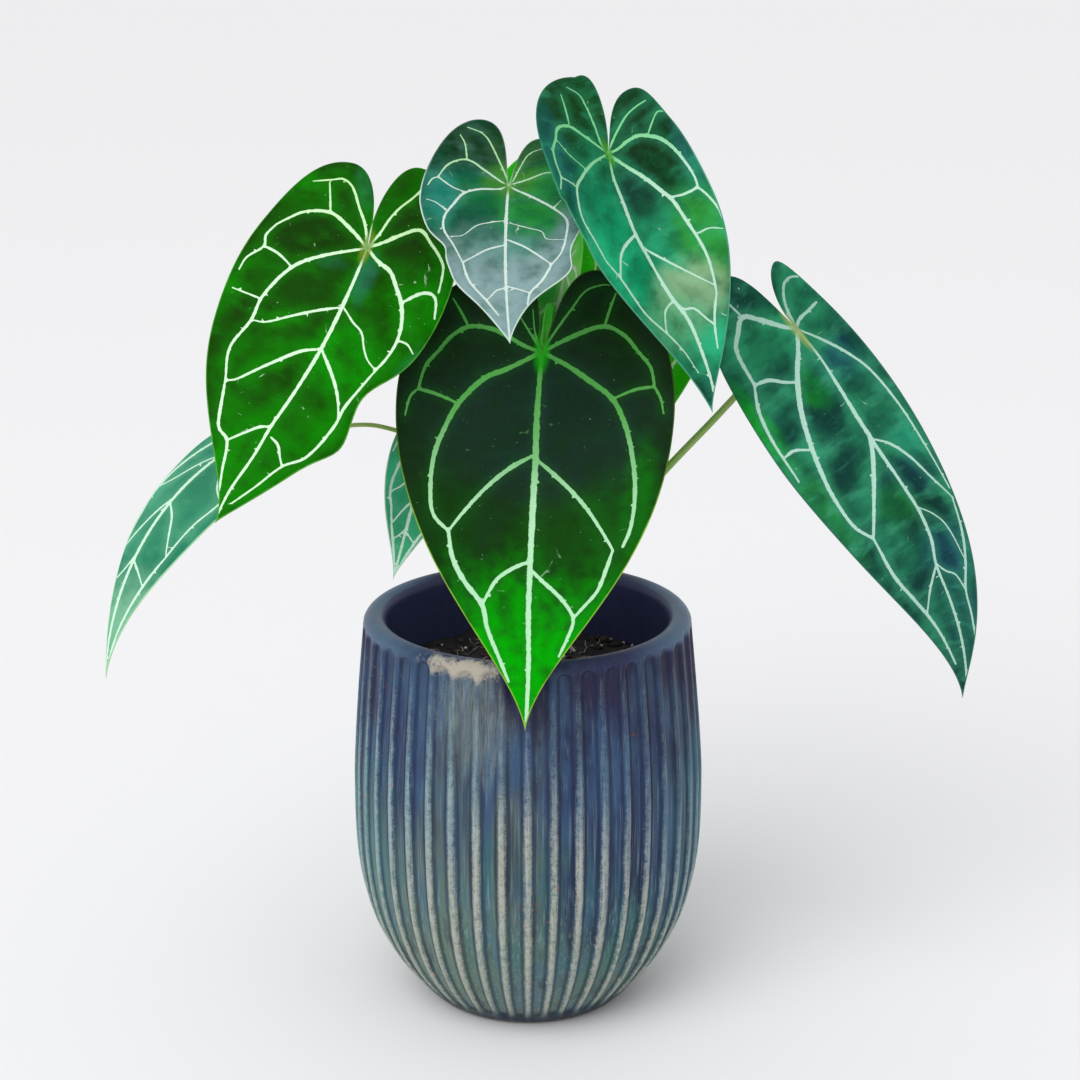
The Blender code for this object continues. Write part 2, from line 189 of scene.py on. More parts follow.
POT_TOP = 202.0
FOOT_RADIUS = 49.0
FOOT_ROUND = 1.3         # how far the foot's edge is rounded in
BELLY_RADIUS = 87.6
BELLY_HEIGHT = 120.0
SHOULDER_DROP = 6.6
LIP_HEIGHT = 196.0
LIP_TURNS = range(6, 181, 7)     # degrees round the rolled lip
LIP_ROWS_CUT = 12        # rows of the lip that the hollows may reach
INSIDE_RADIUS = 70.0
WALL = 9.0
FLOOR_HEIGHT = 16.0
RIBS = 43
FIRST_RIB = 2.3          # turn of the first rib, in degrees
STEPS_PER_RIB = 14
HOLLOW_DEPTH = 1.9
CREST_HALF = 0.115       # half a rib's crest, as a part of the spacing
CREST_ROUND = 0.28
HOLLOW_TOP = 199.2       # the hollows end here, in rounded tops
HOLLOW_ARCH = 4.2
HOLLOW_FADE = 3.4


def wall_radius(height):
    """Outer radius of the pot over its ribs."""
    low = FOOT_RADIUS + (BELLY_RADIUS - FOOT_RADIUS) * (1 - np.clip(1 - height / BELLY_HEIGHT, 0, 1) ** 3.3)
    climb = np.clip((height - BELLY_HEIGHT) / (POT_TOP - BELLY_HEIGHT), 0, 1)
    return np.where(height < BELLY_HEIGHT, low, BELLY_RADIUS - SHOULDER_DROP * climb ** 1.4)


def inside_radius(height):
    """Radius of the pot's hollow."""
    return np.minimum(INSIDE_RADIUS, wall_radius(height) - WALL)


def pot_profile():
    """Radius and height from the foot, over the lip, to the floor inside, and how many rows are wall."""
    wall = np.concatenate([[0.0, 0.6, 1.6, 3.0, 5.0], np.arange(7.5, 178, 3.1), np.arange(179, 196.1, 0.85)])
    profile = [(float(wall_radius(z)) - FOOT_ROUND * max(0.0, 1 - z / 1.6) ** 2, z) for z in wall]
    half = (float(wall_radius(LIP_HEIGHT)) - INSIDE_RADIUS) / 2
    for turn in map(radians, LIP_TURNS):
        height = LIP_HEIGHT + (POT_TOP - LIP_HEIGHT) * sin(turn)
        profile.append((INSIDE_RADIUS + half + half * cos(turn), height))
    profile += [(float(inside_radius(z)), z) for z in np.arange(188, FLOOR_HEIGHT + 3, -6)]
    corner = float(inside_radius(FLOOR_HEIGHT)) - 2
    return profile + [(corner, FLOOR_HEIGHT + 0.6), (40.0, FLOOR_HEIGHT), (2.0, FLOOR_HEIGHT)], len(wall)


def pot_rings():
    """Rings of the pot, with how far each point is up a rib and whether each is inside."""
    draws = Random(11)
    depth_of = np.array([HOLLOW_DEPTH * draws.uniform(0.82, 1.1) for _ in range(RIBS)])
    top_of = np.array([draws.uniform(-0.9, 0.9) for _ in range(RIBS)])
    lean_of = np.array([draws.uniform(-0.05, 0.05) for _ in range(RIBS)])
    step = np.arange(RIBS * STEPS_PER_RIB)
    rib = step // STEPS_PER_RIB
    part = (step % STEPS_PER_RIB) / STEPS_PER_RIB
    spread = np.abs(part - 0.5) / (0.5 - CREST_HALF)
    hollow = np.clip(1 - spread ** 2, 0, 1) ** 0.62
    round_off = CREST_ROUND * np.clip((0.5 - np.abs(part - 0.5)) / CREST_HALF, 0, 1) ** 2
    lean = STEPS_PER_RIB * lean_of[rib] * np.sin(pi * part) ** 2
    turns = 2 * pi * (step + lean) / len(step) + radians(FIRST_RIB)
    ceiling = HOLLOW_TOP + top_of[rib] - HOLLOW_ARCH * (1 - np.sqrt(np.clip(1 - spread ** 2, 0, 1)))
    profile, wall_rows = pot_profile()
    rings, crests, inside = [], [], []
    for number, (radius, height) in enumerate(profile):
        fade = np.clip((ceiling - height) / HOLLOW_FADE, 0, 1) * np.clip((height - 3.5) / 6, 0, 1)
        fade = fade * (number < wall_rows + LIP_ROWS_CUT)
        fade = fade * fade * (3 - 2 * fade)
        cut = (depth_of[rib] * hollow + round_off) * fade
        wobble = 0.22 * np.sin(2 * turns + height / 37) + 0.12 * np.sin(5 * turns - height / 23)
        here = radius - cut + wobble * min(1, height / 20)
        lift = 0.25 * np.sin(2 * turns + 1) * np.clip((height - 190) / 8, 0, 1)
        rings.append(np.stack([here * np.cos(turns), here * np.sin(turns), height + lift], 1))
        crests.append(1 - np.clip(hollow * fade, 0, 1))
        inside.append(0 * turns + float(number >= wall_rows and radius < INSIDE_RADIUS + 2))
    return np.array(rings), np.ravel(crests), np.ravel(inside)


SLATE = "2c3f62"
PLUM = "262442"
TEAL = "396a63"
LIT_EDGE_TEAL = "3a7f88"
SEA_BLUE = "3e6282"
MOSS = "6a7c6c"
DEEP_NAVY = "141a36"
STEEL = "8aa6ac"
CREAM = "b2b3a8"
WASHED = "8f9c92"
LIP_INK = "2b3152"
LIP_HIGHLIGHT_BLUE = "6484a0"
INSIDE_NAVY = "393a62"
BARE_CLAY = "b4ac9c"
RAW_CLAY = "8f7a62"
RUST = "8a4a24"
WASH = ((-26.0, -80.0, 176.0), (20.0, 30.0, 36.0))           # centre and reach of the washed-out glaze
BARE_PATCH = ((-29.0, -76.0, 197.6), (25.0, 20.0, 5.263))    # and of the bare clay on the lip


def pot_glaze():
    """The glaze: slate blue, plum near the lip, teal towards the foot, worn pale on the ribs, with painted
    highlights and shade.
    """
    material, wire, shader = new_finish("pot_glaze")
    place = in_millimetres(wire)
    height = place.axis("Z")
    side = place.axis("X")
    out = side.maths("ABSOLUTE", side, 0.0)
    crest = wire.stored("crest")
    inside = wire.stored("inside")
    runs = place.speckle(7, 4, (1, 1, 0.10))
    streak = place.speckle(1.0, 2, (1, 1, 0.022))
    cloud = place.speckle(42, 3)
    drift = place.speckle(20, 3, (1, 1, 0.5))
    grain = place.speckle(1.1, 3)
    pits = place.speckle(3.2)
    # The pooled colours, from the lip down to the foot.
    mixed = (cloud - 0.5) * 130 + (drift - 0.5) * 90 + (runs - 0.5) * 60
    body = (height + mixed + side * 0.35).rise(140, 190).mix(SLATE, PLUM)
    body = ((height + mixed + side * 0.3).rise(125, 40) * 0.9).mix(body, TEAL)
    body = ((height - mixed * 0.6 + side * 0.6).rise(105, 5) * 0.65).mix(body, MOSS)
    middle = side + 22 + (drift - 0.5) * 30
    greyed = (middle * middle).rise(1600, 100) * (height + mixed * 0.5).rise(205, 120) * runs.rise(0.36, 0.58)
    body = (greyed * 0.55).mix(body, MOSS)
    body = ((drift - mixed * 0.004).rise(0.45, 0.62) * 0.4).mix(body, SEA_BLUE)
    # Painted light: lighter teal down the pot's left and right sides, where they turn away from the front.
    body = (out.rise(58, 84) * (height + mixed * 0.5).rise(175, 90) * 0.5).mix(body, LIT_EDGE_TEAL)
    body = (runs.rise(0.48, 0.72) * 0.55).mix(body, DEEP_NAVY)
    pale_runs = streak.rise(0.50, 0.75) * height.rise(200, 90) * 0.30 + streak.rise(0.5, 0.8) * 0.08
    body = pale_runs.mix(body, STEEL)
    # The ribs: a dark line of painted shade down each side, and a pale crest, partly worn glaze and partly a
    # painted highlight, which is all of it near the top.
    edge = crest - 0.35
    body = ((edge * edge).rise(0.08, 0.0) * 0.6).mix(body, DEEP_NAVY)
    patchy = (grain - 0.5) * 0.8 + (streak - 0.5) * 0.6 + (runs - 0.5) * 0.4 + (pits - 0.5) * 0.5
    crest_wear_and_highlight = (crest + patchy + height.rise(190, 110) * 0.22).rise(0.72, 1.42)
    ribbed = height.rise(197, 182) * height.rise(4, 16)
    paler = (height + (drift - 0.5) * 100 + side * 0.5).rise(190, 95)
    strength = crest_wear_and_highlight * ribbed * (0.24 + paler * 0.66)
    crest_paint = (height + out * 0.8 + (cloud - 0.5) * 60).rise(100, 185).mix(CREAM, STEEL)
    body = strength.mix(body, crest_paint)
    # The washed-out glaze in front, the lip, and the bare clay on it.
    wash = (place.away(*WASH) + (runs - 0.5) * 1.8 + (grain - 0.5) * 0.4).rise(1.1, 0.3)
    body = (wash * (0.5 + streak.rise(0.40, 0.62) * 0.5) * 0.42).mix(body, WASHED)
    lip = height.rise(194, 199)
    body = (lip * (0.35 + cloud.rise(0.4, 0.6) * 0.3)).mix(body, LIP_INK)
    # Painted highlight: a lighter blue at the left and right ends of the lip.
    body = (lip * out.rise(42, 76) * 0.55).mix(body, LIP_HIGHLIGHT_BLUE)
    ragged = (grain - 0.5) * 0.9 + (runs - 0.5) * 2.2 + (pits - 0.5) * 0.7 - crest * 0.2
    patch = (place.away(*BARE_PATCH) + ragged).rise(0.95, 0.2)
    body = (patch * 0.85).mix(body, BARE_CLAY)
    # Specks, the dark foot, the inside and the unglazed underside.
    rust = pits.rise(0.64, 0.72) * place.speckle(50, 1).rise(0.54, 0.62)
    body = (rust * 0.4).mix(body, RUST)
    body = (grain.rise(0.60, 0.75) * 0.4).mix(body, DEEP_NAVY)
    body = ((height + (runs - 0.5) * 12).rise(12, 3) * 0.9).mix(body, DEEP_NAVY)
    body = (inside * 0.9).mix(body, INSIDE_NAVY)
    under = height.rise(0.5, 0.1)
    rough = 0.36 + strength * 0.2 + patch * 0.3 + (grain - 0.5) * 0.2 + under * 0.3
    relief = grain * 0.25 + pits * 0.35 + runs * 0.4 + streak * 0.3
    coat(shader, under.mix(body, RAW_CLAY), rough, relief, 0.4, 0.6, 0.18)
    return material


rings, crests, inside = pot_rings()
put("pot", *skin(rings), [pot_glaze()], "glaze", "pot", {"crest": crests, "inside": inside}, sharp=60)


# ---- Soil -----------------------------------------------------------------------------------------------
# Airy potting mix: dark peat with chips of bark, white perlite and fine dry roots lying on it, filled to
# below the lip and heaped a little round the stem.

SOIL_TOP = 168.0
SOIL_EDGE = 69.6
SOIL_SIDES = 150
SOIL_RINGS = 46
SOIL_WALL = (16.4, 30.0, 45.0, 60.0, 76.0, 120.0, 160.0)     # heights of the rings against the pot
CHIP_BANDS = (0.55, 1.0, 0.9, 0.4)                           # width of a chip's rings
CHIP_SIDES = 6
STEM_CLEAR = 13          # nothing loose lies nearer to the middle


def ground(x, y):
    """Height of the soil's surface."""
    heap = 2.6 * np.exp(-((x * x + y * y) ** 0.5 / 26) ** 2)
    lumps = 2.0 * noise.fractal(Vector((x / 14, y / 14, 0.3)), 0.9, 2.0, 4)
    crumbs = 0.9 * noise.noise(Vector((x / 3.1, y / 3.1, 7.0)))
    return SOIL_TOP + heap + lumps + crumbs


def soil_finish():
    """Dark peat, damp in places."""
    material, wire, shader = new_finish("potting_mix")
    place = in_millimetres(wire)
    coarse = place.speckle(6, 4)
    fine = place.speckle(1.1, 3)
    body = coarse.rise(0.35, 0.65).mix("0d0b0d", "1f1a1a")
    body = (fine.rise(0.60, 0.72) * 0.4).mix(body, "4a4044")
    coat(shader, body, 0.75 + fine * 0.25, coarse + fine * 0.6, 0.9, 1.2)
    return material


def plain_mix(name, dark, light, size, rough):
    """A finish for loose bits and bark: two tones in fine grain."""
    material, wire, shader = new_finish(name)
    grain = in_millimetres(wire).speckle(size, 4)
    coat(shader, grain.rise(0.35, 0.65).mix(dark, light), rough, grain, 0.6, 0.5)
    return material


def gathered(pieces):
    """Many small meshes as one."""
    points, faces = [], []
    for more, quads in pieces:
        faces += [[i + len(points) for i in quad] for quad in quads]
        points += list(more)
    return points, faces


def chip(draws, centre, size, flat):
    """One angular lump: a knocked-about ball of six-sided rings."""
    turn = Matrix.Rotation(draws.uniform(0, 6.3), 3, "Z") @ Matrix.Rotation(draws.uniform(-0.5, 0.5), 3, "X")
    rings = []
    for row, band in enumerate(CHIP_BANDS):
        rings.append([])
        for side in range(CHIP_SIDES):
            angle = 2 * pi * (side + 0.5 * row) / CHIP_SIDES
            reach = band * draws.uniform(0.72, 1.12) * size
            rise = (row / 1.5 - 1) * size * flat * draws.uniform(0.8, 1.1)
            offset = Vector((reach * cos(angle), reach * sin(angle) * 0.62, rise))
            rings[-1].append(Vector(centre) + turn @ offset)
    return skin(np.array(rings))


def heap_of(count, seed, sizes, flat, sink):
    """Many lumps lying on the soil."""
    draws = Random(seed)
    while count:
        out = SOIL_EDGE * draws.random() ** 0.5
        angle = draws.uniform(0, 2 * pi)
        x, y = out * cos(angle), out * sin(angle)
        size = draws.uniform(*sizes)
        if STEM_CLEAR + size <= out <= SOIL_EDGE - size:
            yield chip(draws, (x, y, ground(x, y) + size * sink), size, flat)
            count -= 1


def headings(line):
    """The way that a line goes at each of its points."""
    return [line[min(i + 1, len(line) - 1)] - line[max(i - 1, 0)] for i in range(len(line))]


def tube(line, radii, sides=7):
    """Rings round a line of points, without twist."""
    line = [Vector(p) for p in line]
    rings = []
    across = None
    for point, ahead, radius in zip(line, headings(line), radii):
        ahead = ahead.normalized()
        if across is None:
            across = ahead.orthogonal().normalized()
        across = (across - ahead * across.dot(ahead)).normalized()
        up = ahead.cross(across)
        rings.append([point + (across * cos(2 * pi * s / sides) + up * sin(2 * pi * s / sides)) * radius
                      for s in range(sides)])
    return skin(np.array(rings))


def fibres(count, seed):
    """Fine dry roots lying over the soil."""
    draws = Random(seed)
    for _ in range(count):
        out = draws.uniform(STEM_CLEAR + 1, 62)
        angle = draws.uniform(0, 2 * pi)
        x, y = out * cos(angle), out * sin(angle)
        heading = draws.uniform(0, 2 * pi)
        line = []
        for step in range(draws.randint(6, 14)):
            if (x * x + y * y) ** 0.5 > SOIL_EDGE - 2:
                break
            line.append((x, y, ground(x, y) + draws.uniform(0.2, 1.5)))
            heading += draws.uniform(-0.6, 0.6)
            x += 2.2 * cos(heading)
            y += 2.2 * sin(heading)
        if len(line) >= 4:
            yield tube(line, [0.28] * len(line), 4)


def soil_rings():
    """The plug of soil: its floor, its wall against the pot, and its uneven top."""
    turns = np.linspace(0, 2 * pi, SOIL_SIDES, endpoint=False)
    rings = []
    for height in SOIL_WALL:
        radius = float(inside_radius(height)) - 0.4
        rings.append([(radius * cos(t), radius * sin(t), height) for t in turns])
    for out in np.linspace(SOIL_EDGE, 2.0, SOIL_RINGS):
        rings.append([(out * cos(t), out * sin(t), ground(out * cos(t), out * sin(t))) for t in turns])
    return np.array(rings)


put("soil", *skin(soil_rings()), [soil_finish()], "potting_mix", "soil")
bark = plain_mix("bark", "140f10", "3a2c28", 2.0, 0.85)
put("bark_chips", *gathered(heap_of(230, 21, (1.6, 4.6), 0.45, 0.15)), [bark], "potting_mix", sharp=30)
white = plain_mix("perlite", "b9b6ad", "f0eee8", 0.8, 0.9)
put("perlite", *gathered(heap_of(90, 22, (0.7, 1.7), 0.8, 0.35)), [white], "potting_mix", sharp=40)
dry_root = plain_mix("dry_root", "5a5058", "b4a8a4", 2.0, 0.8)
put("dry_roots", *gathered(fibres(70, 23)), [dry_root], "potting_mix")


# ---- Stem -----------------------------------------------------------------------------------------------
# The plant's short upright stem, ringed with old leaf scars and wrapped in brown papery scales, with a few
# stubby roots going down into the soil.

STEM_RADIUS = 9.5
STEM_TOP = 203.0
DOME_HEIGHT = 7.0        # of its rounded top
SCAR_SPACING = 5.5
SCALE_STEPS = 8
ROOT_STEPS = 7


def stem_rings():
    """The stem from the soil to its rounded top."""
    turns = np.linspace(0, 2 * pi, 48, endpoint=False)
    shoulder = STEM_TOP - DOME_HEIGHT
    dome_rows = STEM_TOP - DOME_HEIGHT * (1 - np.sin(np.linspace(0, 1.45, 9)))
    rings = []
    for height in np.concatenate([np.arange(150, shoulder, 1.0), dome_rows]):
        dome = 1.0 if height <= shoulder else max(0.08, 1 - ((height - shoulder) / DOME_HEIGHT) ** 2) ** 0.5
        scar = 0.55 * (1 - abs(((height / SCAR_SPACING) % 1) - 0.5) * 2)
        ring = []
        for t in turns:
            rough = 0.35 * noise.noise(Vector((3 * cos(t), 3 * sin(t), height / 6)))
            radius = (STEM_RADIUS - 0.6 - scar + rough) * dome
            ring.append((radius * cos(t), radius * sin(t), height))
        rings.append(ring)
    return np.array(rings)


def papery_scales(seed, count):
    """Dry brown scales: narrow pointed strips that stand round the stem and curl out at their tips."""
    draws = Random(seed)
    for number in range(count):
        angle = 2 * pi * (number + draws.uniform(-0.3, 0.3)) / count
        height = draws.uniform(12, 30)
        base = draws.uniform(168, 186)
        flare = draws.uniform(2, 7)
        points = []
        for part in np.arange(SCALE_STEPS + 1) / SCALE_STEPS:
            width = 3.4 * (1 - part) ** 0.7 + 0.15
            radius = STEM_RADIUS + 0.3 + flare * part ** 2.2
            twist = draws.uniform(-0.03, 0.03)
            for side in (-1, -0.33, 0.33, 1):
                spread = angle + side * width / radius * 1.1 + twist
                out = radius - 0.5 * side * side * part
                points.append((out * cos(spread), out * sin(spread), base + height * part))
        yield points, [[here, here + 1, here + 5, here + 4]
                       for row in range(SCALE_STEPS) for here in range(4 * row, 4 * row + 3)]


def stub_roots(seed, count):
    """Stubby pale-brown roots from the stem's foot into the soil."""
    draws = Random(seed)
    for number in range(count):
        angle = 2 * pi * (number + draws.uniform(-0.3, 0.3)) / count
        start = draws.uniform(172, 180)
        reach = draws.uniform(16, 24)
        line = []
        for part in np.arange(ROOT_STEPS + 1) / ROOT_STEPS:
            out = STEM_RADIUS - 2 + (reach - STEM_RADIUS + 2) * part
            drop = start - 5 * part - 9 * part ** 2.5
            line.append((out * cos(angle + 0.2 * part), out * sin(angle + 0.2 * part), drop))
        yield tube(line, [1.7 - 0.05 * i for i in range(ROOT_STEPS + 1)], 8)


put("stem", *skin(stem_rings()), [plain_mix("stem_bark", "3c3a1e", "6e6a3a", 3.0, 0.7)], "plant_stem", "stem")
dry_scale = plain_mix("dry_scale", "4d3620", "8a6a42", 1.5, 0.75)
scales = put("papery_scales", *gathered(papery_scales(31, 13)), [dry_scale], "plant_stem")
scales.modifiers.new("thickness", "SOLIDIFY").thickness = 0.35 * MM
root_skin = plain_mix("root_skin", "6a5a3c", "a08f62", 2.0, 0.7)
put("stub_roots", *gathered(stub_roots(32, 7)), [root_skin], "plant_stem")


# ---- Front leaf -----------------------------------------------------------------------------------------
# The largest leaf, hanging in front of the pot: a thick velvety heart, almost black above and clear green
# towards the tip, with broad pale veins. Its stalk comes over from behind and swells where it meets it.

ROW_LENGTH = 1.5          # spacing of points along margins and veins, in millimetres
GROUND_SPACING = 2.7      # spacing of the points between the veins
GROUND_CLEAR = 1.6        # none of those lies nearer to a vein
BESIDE_MARGIN = 1.2       # a row of points this far inside the margin
BESIDE_VEIN = (1, 1.9)    # rows of points beside each vein, in its half widths
MARGIN_CLEAR = 0.7        # no point within the blade lies nearer to the margin
CELL = 0.6                # no two of them share a cell of this size
BRANCH_GAP = (4, 11)      # steps between two side veins
BLADE_HALF = 0.4          # half the thickness of a blade
QUILT_REACH = 7.0         # how far from a vein the blade takes to swell to its full height
RUFFLES = 2.0
RUFFLE_PHASE = (0.0, 0.37)
GROOVE_DEPTH = 0.22       # of the veins in the upper face
RIDGE_HEIGHT = 0.75       # of the veins on the lower face
FAINT_WIDTH = 0.7
STALK_SIDES = 12
HIDDEN_ROOT = ((4.5, 9), (2.4, 5), (0.7, 2))         # points of a stalk inward of its foot, and below it
PLAIN_KNEE = (0.955, 0.28)                           # where a stalk swells behind its blade, and how much
STALK_STREAK = "c9cf86"
STALK_FLECK = "d9e2b8"
SHEATH_BROWN = "8a6f45"
PLAIN_SHAPE = dict(crest=(0.45, 0.45), drip=(0.20, 0.20), sinus=(0.05, 0.05), cast=0, heading=0, face=0,
                   sway=0, twist=0, nod=0, swells=())
PLAIN_LOOK = dict(vein_highlight=0.2, pleat_light_and_shade=0.15, under="8fc0a8", hub="7a9a40", pale_from=(0.0, 0.3), hair=0.5,
                  rough=0.42)


def evenly(line, spacing):
    """The same line with evenly spaced points."""
    line = np.asarray(line, float)
    along = np.concatenate([[0], np.cumsum(np.hypot(*np.diff(line, axis=0).T))])
    at = np.linspace(0, along[-1], max(2, int(round(along[-1] / spacing)) + 1))
    return np.stack([np.interp(at, along, line[:, 0]), np.interp(at, along, line[:, 1])], 1)


def smooth_through(points, ahead, steps):
    """A smooth line through points, which goes the given way at each of them."""
    line = []
    for start, stop, out, back in zip(points, points[1:], ahead, ahead[1:]):
        reach = (stop - start).length / 3
        handles = start + out.normalized() * reach, stop - back.normalized() * reach
        line += interpolate_bezier(start, *handles, stop, steps)[:-1]
    return line + [points[-1]]


def curve_through(points, spacing):
    """A smooth flat line through a few points."""
    points = [Vector(p) for p in points]
    return evenly([tuple(p)[:2] for p in smooth_through(points, headings(points), 12)], spacing)


def half_margin(shape, side):
    """One half's edge, flat: from the petiole round the sinus and lobe and down the margin to the tip."""
    parts = ("half", "lobe", "broad", "full", "drip", "sinus")
    half, lobe, broad, full, drip, sinus = (shape[part][side] for part in parts)
    crest = shape["crest"][side] * half
    length = shape["length"]
    top, widest, tip = (crest, -lobe), (half, broad), (0, length)
    inward = [(0, 0), (sinus * half, -0.45 * lobe), (0.25 * crest, -lobe), top]
    crown = [top, (crest + 0.6 * (half - crest), -lobe), (half, broad - 0.5 * (broad + lobe)), widest]
    margin = [widest, (half, broad + full * (length - broad)), (0.1 * half, length * (1 - drip)), tip]
    line = []
    for stretch in (inward, crown, margin):
        line += interpolate_bezier(*[Vector(p) for p in stretch], 60)[:-1]
    line = np.array([tuple(p)[:2] for p in line] + [tip])
    below = line[:, 1] > broad
    for which, place, reach, size in shape["swells"]:
        if which == side:
            line[:, 0] += below * size * np.exp(-((line[:, 1] - place) / reach) ** 2)
    slope = tan(radians(shape["cast"])) / lobe
    line[:, 0] = line[:, 0] * (-1 if side == 0 else 1) + slope * np.minimum(line[:, 1], 0) ** 2
    return evenly(line, ROW_LENGTH)


def turned(axis, degrees):
    """A turn about an axis."""
    return np.array(Matrix.Rotation(radians(degrees), 3, axis))


def along_midrib(shape, down):
    """For an array of distances down the blade: its turn there (across, down, out) and the midrib's place."""
    base = turned("Z", shape["heading"]) @ turned("Y", -shape["lean"]) @ turned("X", -shape["tilt"])
    base = base @ np.array([(1, 0, 0), (0, 0, -1), (0, -1, 0)], float) @ turned("Y", -shape["face"])
    bend = np.outer(down / shape["length"], [-shape["droop"], shape["twist"], shape["sway"]])
    bend[:, 0] -= np.where(down < 0, shape["nod"] * down / max(shape["lobe"]), 0)
    bend = np.radians(bend)
    angle = np.maximum(np.linalg.norm(bend, axis=1), 1e-9)
    x, y, z = (bend / angle[:, None]).T
    zero = np.zeros_like(x)
    cross = np.stack([zero, -z, y, z, zero, -x, -y, x, zero], 1).reshape(-1, 3, 3)
    angle = angle[:, None, None]
    turn = np.eye(3) + cross * np.sin(angle) + cross @ cross * (1 - np.cos(angle))
    mean = np.eye(3) + cross * (1 - np.cos(angle)) / angle + cross @ cross * (1 - np.sin(angle) / angle)
    place = np.array(shape["at"]) + np.einsum("ij,njk,k,n->ni", base, mean, [0.0, 1.0, 0.0], down)
    return base @ turn, place


def on_blade(shape, flat):
    """Points of the blade's middle surface at flat points."""
    across, down = flat.T
    side = (across >= 0).astype(int)
    half = np.array(shape["half"], float)[side]
    share = np.abs(across) / half
    fold, curl = radians(shape["fold"]), radians(shape["curl"])
    out = half / curl * (np.sin(fold + curl * share) - sin(fold))
    rise = half / curl * (cos(fold) - np.cos(fold + curl * share))
    wave = np.sin(2 * pi * (RUFFLES * down / shape["length"] + np.array(RUFFLE_PHASE)[side]))
    rise += shape["ruffle"] * share ** 2 * wave
    turn, place = along_midrib(shape, down)
    return place + np.einsum("nij,nj->ni", turn, np.stack([np.sign(across) * out, 0 * out, rise], 1))


def branch(line, step, turn, length, bend):
    """A short vein that leaves another one at a step along it."""
    heading = line[step + 1] - line[step - 1]
    east, north = heading / np.hypot(*heading)
    heading = np.array([east * cos(turn) - north * sin(turn), east * sin(turn) + north * cos(turn)])
    points = [line[step]]
    count = max(2, int(round(length)))
    for _ in range(count):
        heading = heading + bend * np.array([-heading[1], heading[0]])
        heading = heading / np.hypot(*heading)
        points.append(points[-1] + heading * length / count)
    return np.array(points)


def lay_veins(shape, veins, hairs, loop, seed):
    """The veins and the faint hair veins, as flat points with half widths, kept inside the margin."""
    draws = Random(seed)
    size = np.array([(half, shape["length"]) for half in shape["half"]]) / 100
    bold, faint = [], []
    for laid, routes in ((bold, veins), (faint, [(FAINT_WIDTH, route) for route in hairs])):
        for width, route in routes:
            line = curve_through([np.array(p) * size[0 if p[0] < 0 else 1] for p in route], ROW_LENGTH)
            part = np.linspace(0, 1, len(line))
            swell = 0.62 + 0.38 * np.clip(part / 0.2, 0, 1) - 0.45 * part ** 2
            wobble = [1 + draws.uniform(-0.12, 0.12) for _ in line]
            laid.append((line, width / 2 * swell * wobble))
    for line, widths in list(bold):
        step = draws.randint(3, 9)
        while step < len(line) - 3:
            turn = draws.choice((-1, 1)) * radians(draws.uniform(50, 80))
            if draws.random() < 0.5:
                nub = branch(line, step, turn, widths[step] + draws.uniform(0.2, 1.1), 0)
                bold.append((nub, np.linspace(0.5 * widths[step], 0.12, len(nub))))
            else:
                hair = branch(line, step, turn, draws.uniform(5, 15), draws.uniform(-0.06, 0.06))
                faint.append((hair, np.linspace(0.32, 0.15, len(hair))))
            step += draws.randint(*BRANCH_GAP)
    return kept_inside(bold, loop), kept_inside(faint, loop)


def kept_inside(laid, loop):
    """The veins up to where each one crosses the margin."""
    kept = []
    for line, widths in laid:
        inside = inside_of(line, loop) | (np.hypot(*line.T) < 2)
        stop = len(line) if inside.all() else int(np.argmin(inside))
        if stop > 1:
            kept.append((line[:stop], widths[:stop]))
    return kept


def distance_to(flat, lines):
    """For each flat point, how far the nearest line is, in millimetres and in half widths of that line."""
    starts = np.concatenate([line[:-1] for line, _ in lines])
    run = np.concatenate([line[1:] for line, _ in lines]) - starts
    low = np.concatenate([widths[:-1] for _, widths in lines])
    grow_by = np.concatenate([widths[1:] for _, widths in lines]) - low
    size = np.maximum((run ** 2).sum(1), 1e-9)
    nearest, ratio = [], []
    for some in np.array_split(flat, max(1, len(flat) // 1500)):
        gap = some[:, None] - starts[None]
        part = np.clip((gap * run[None]).sum(2) / size, 0, 1)
        far = np.linalg.norm(gap - part[..., None] * run[None], axis=2)
        nearest.append(far.min(1))
        ratio.append((far / (low + grow_by * part)).min(1))
    return np.concatenate(nearest), np.concatenate(ratio)


def inside_of(flat, loop):
    """Whether each flat point lies inside a closed line."""
    x, y = flat[:, :1], flat[:, 1:]
    ax, ay = loop.T
    bx, by = np.roll(loop, -1, axis=0).T
    crosses = ((ay > y) != (by > y)) & (x < (bx - ax) * (y - ay) / np.where(by == ay, 1e-9, by - ay) + ax)
    return crosses.sum(1) % 2 == 1


def beside(line, far):
    """The points a given distance to either side of a line."""
    ahead = np.gradient(line, axis=0)
    ahead /= np.maximum(np.hypot(*ahead.T), 1e-9)[:, None]
    aside = np.stack([-ahead[:, 1], ahead[:, 0]], 1) * np.reshape(far, (-1, 1))
    return np.concatenate([line + aside, line - aside])


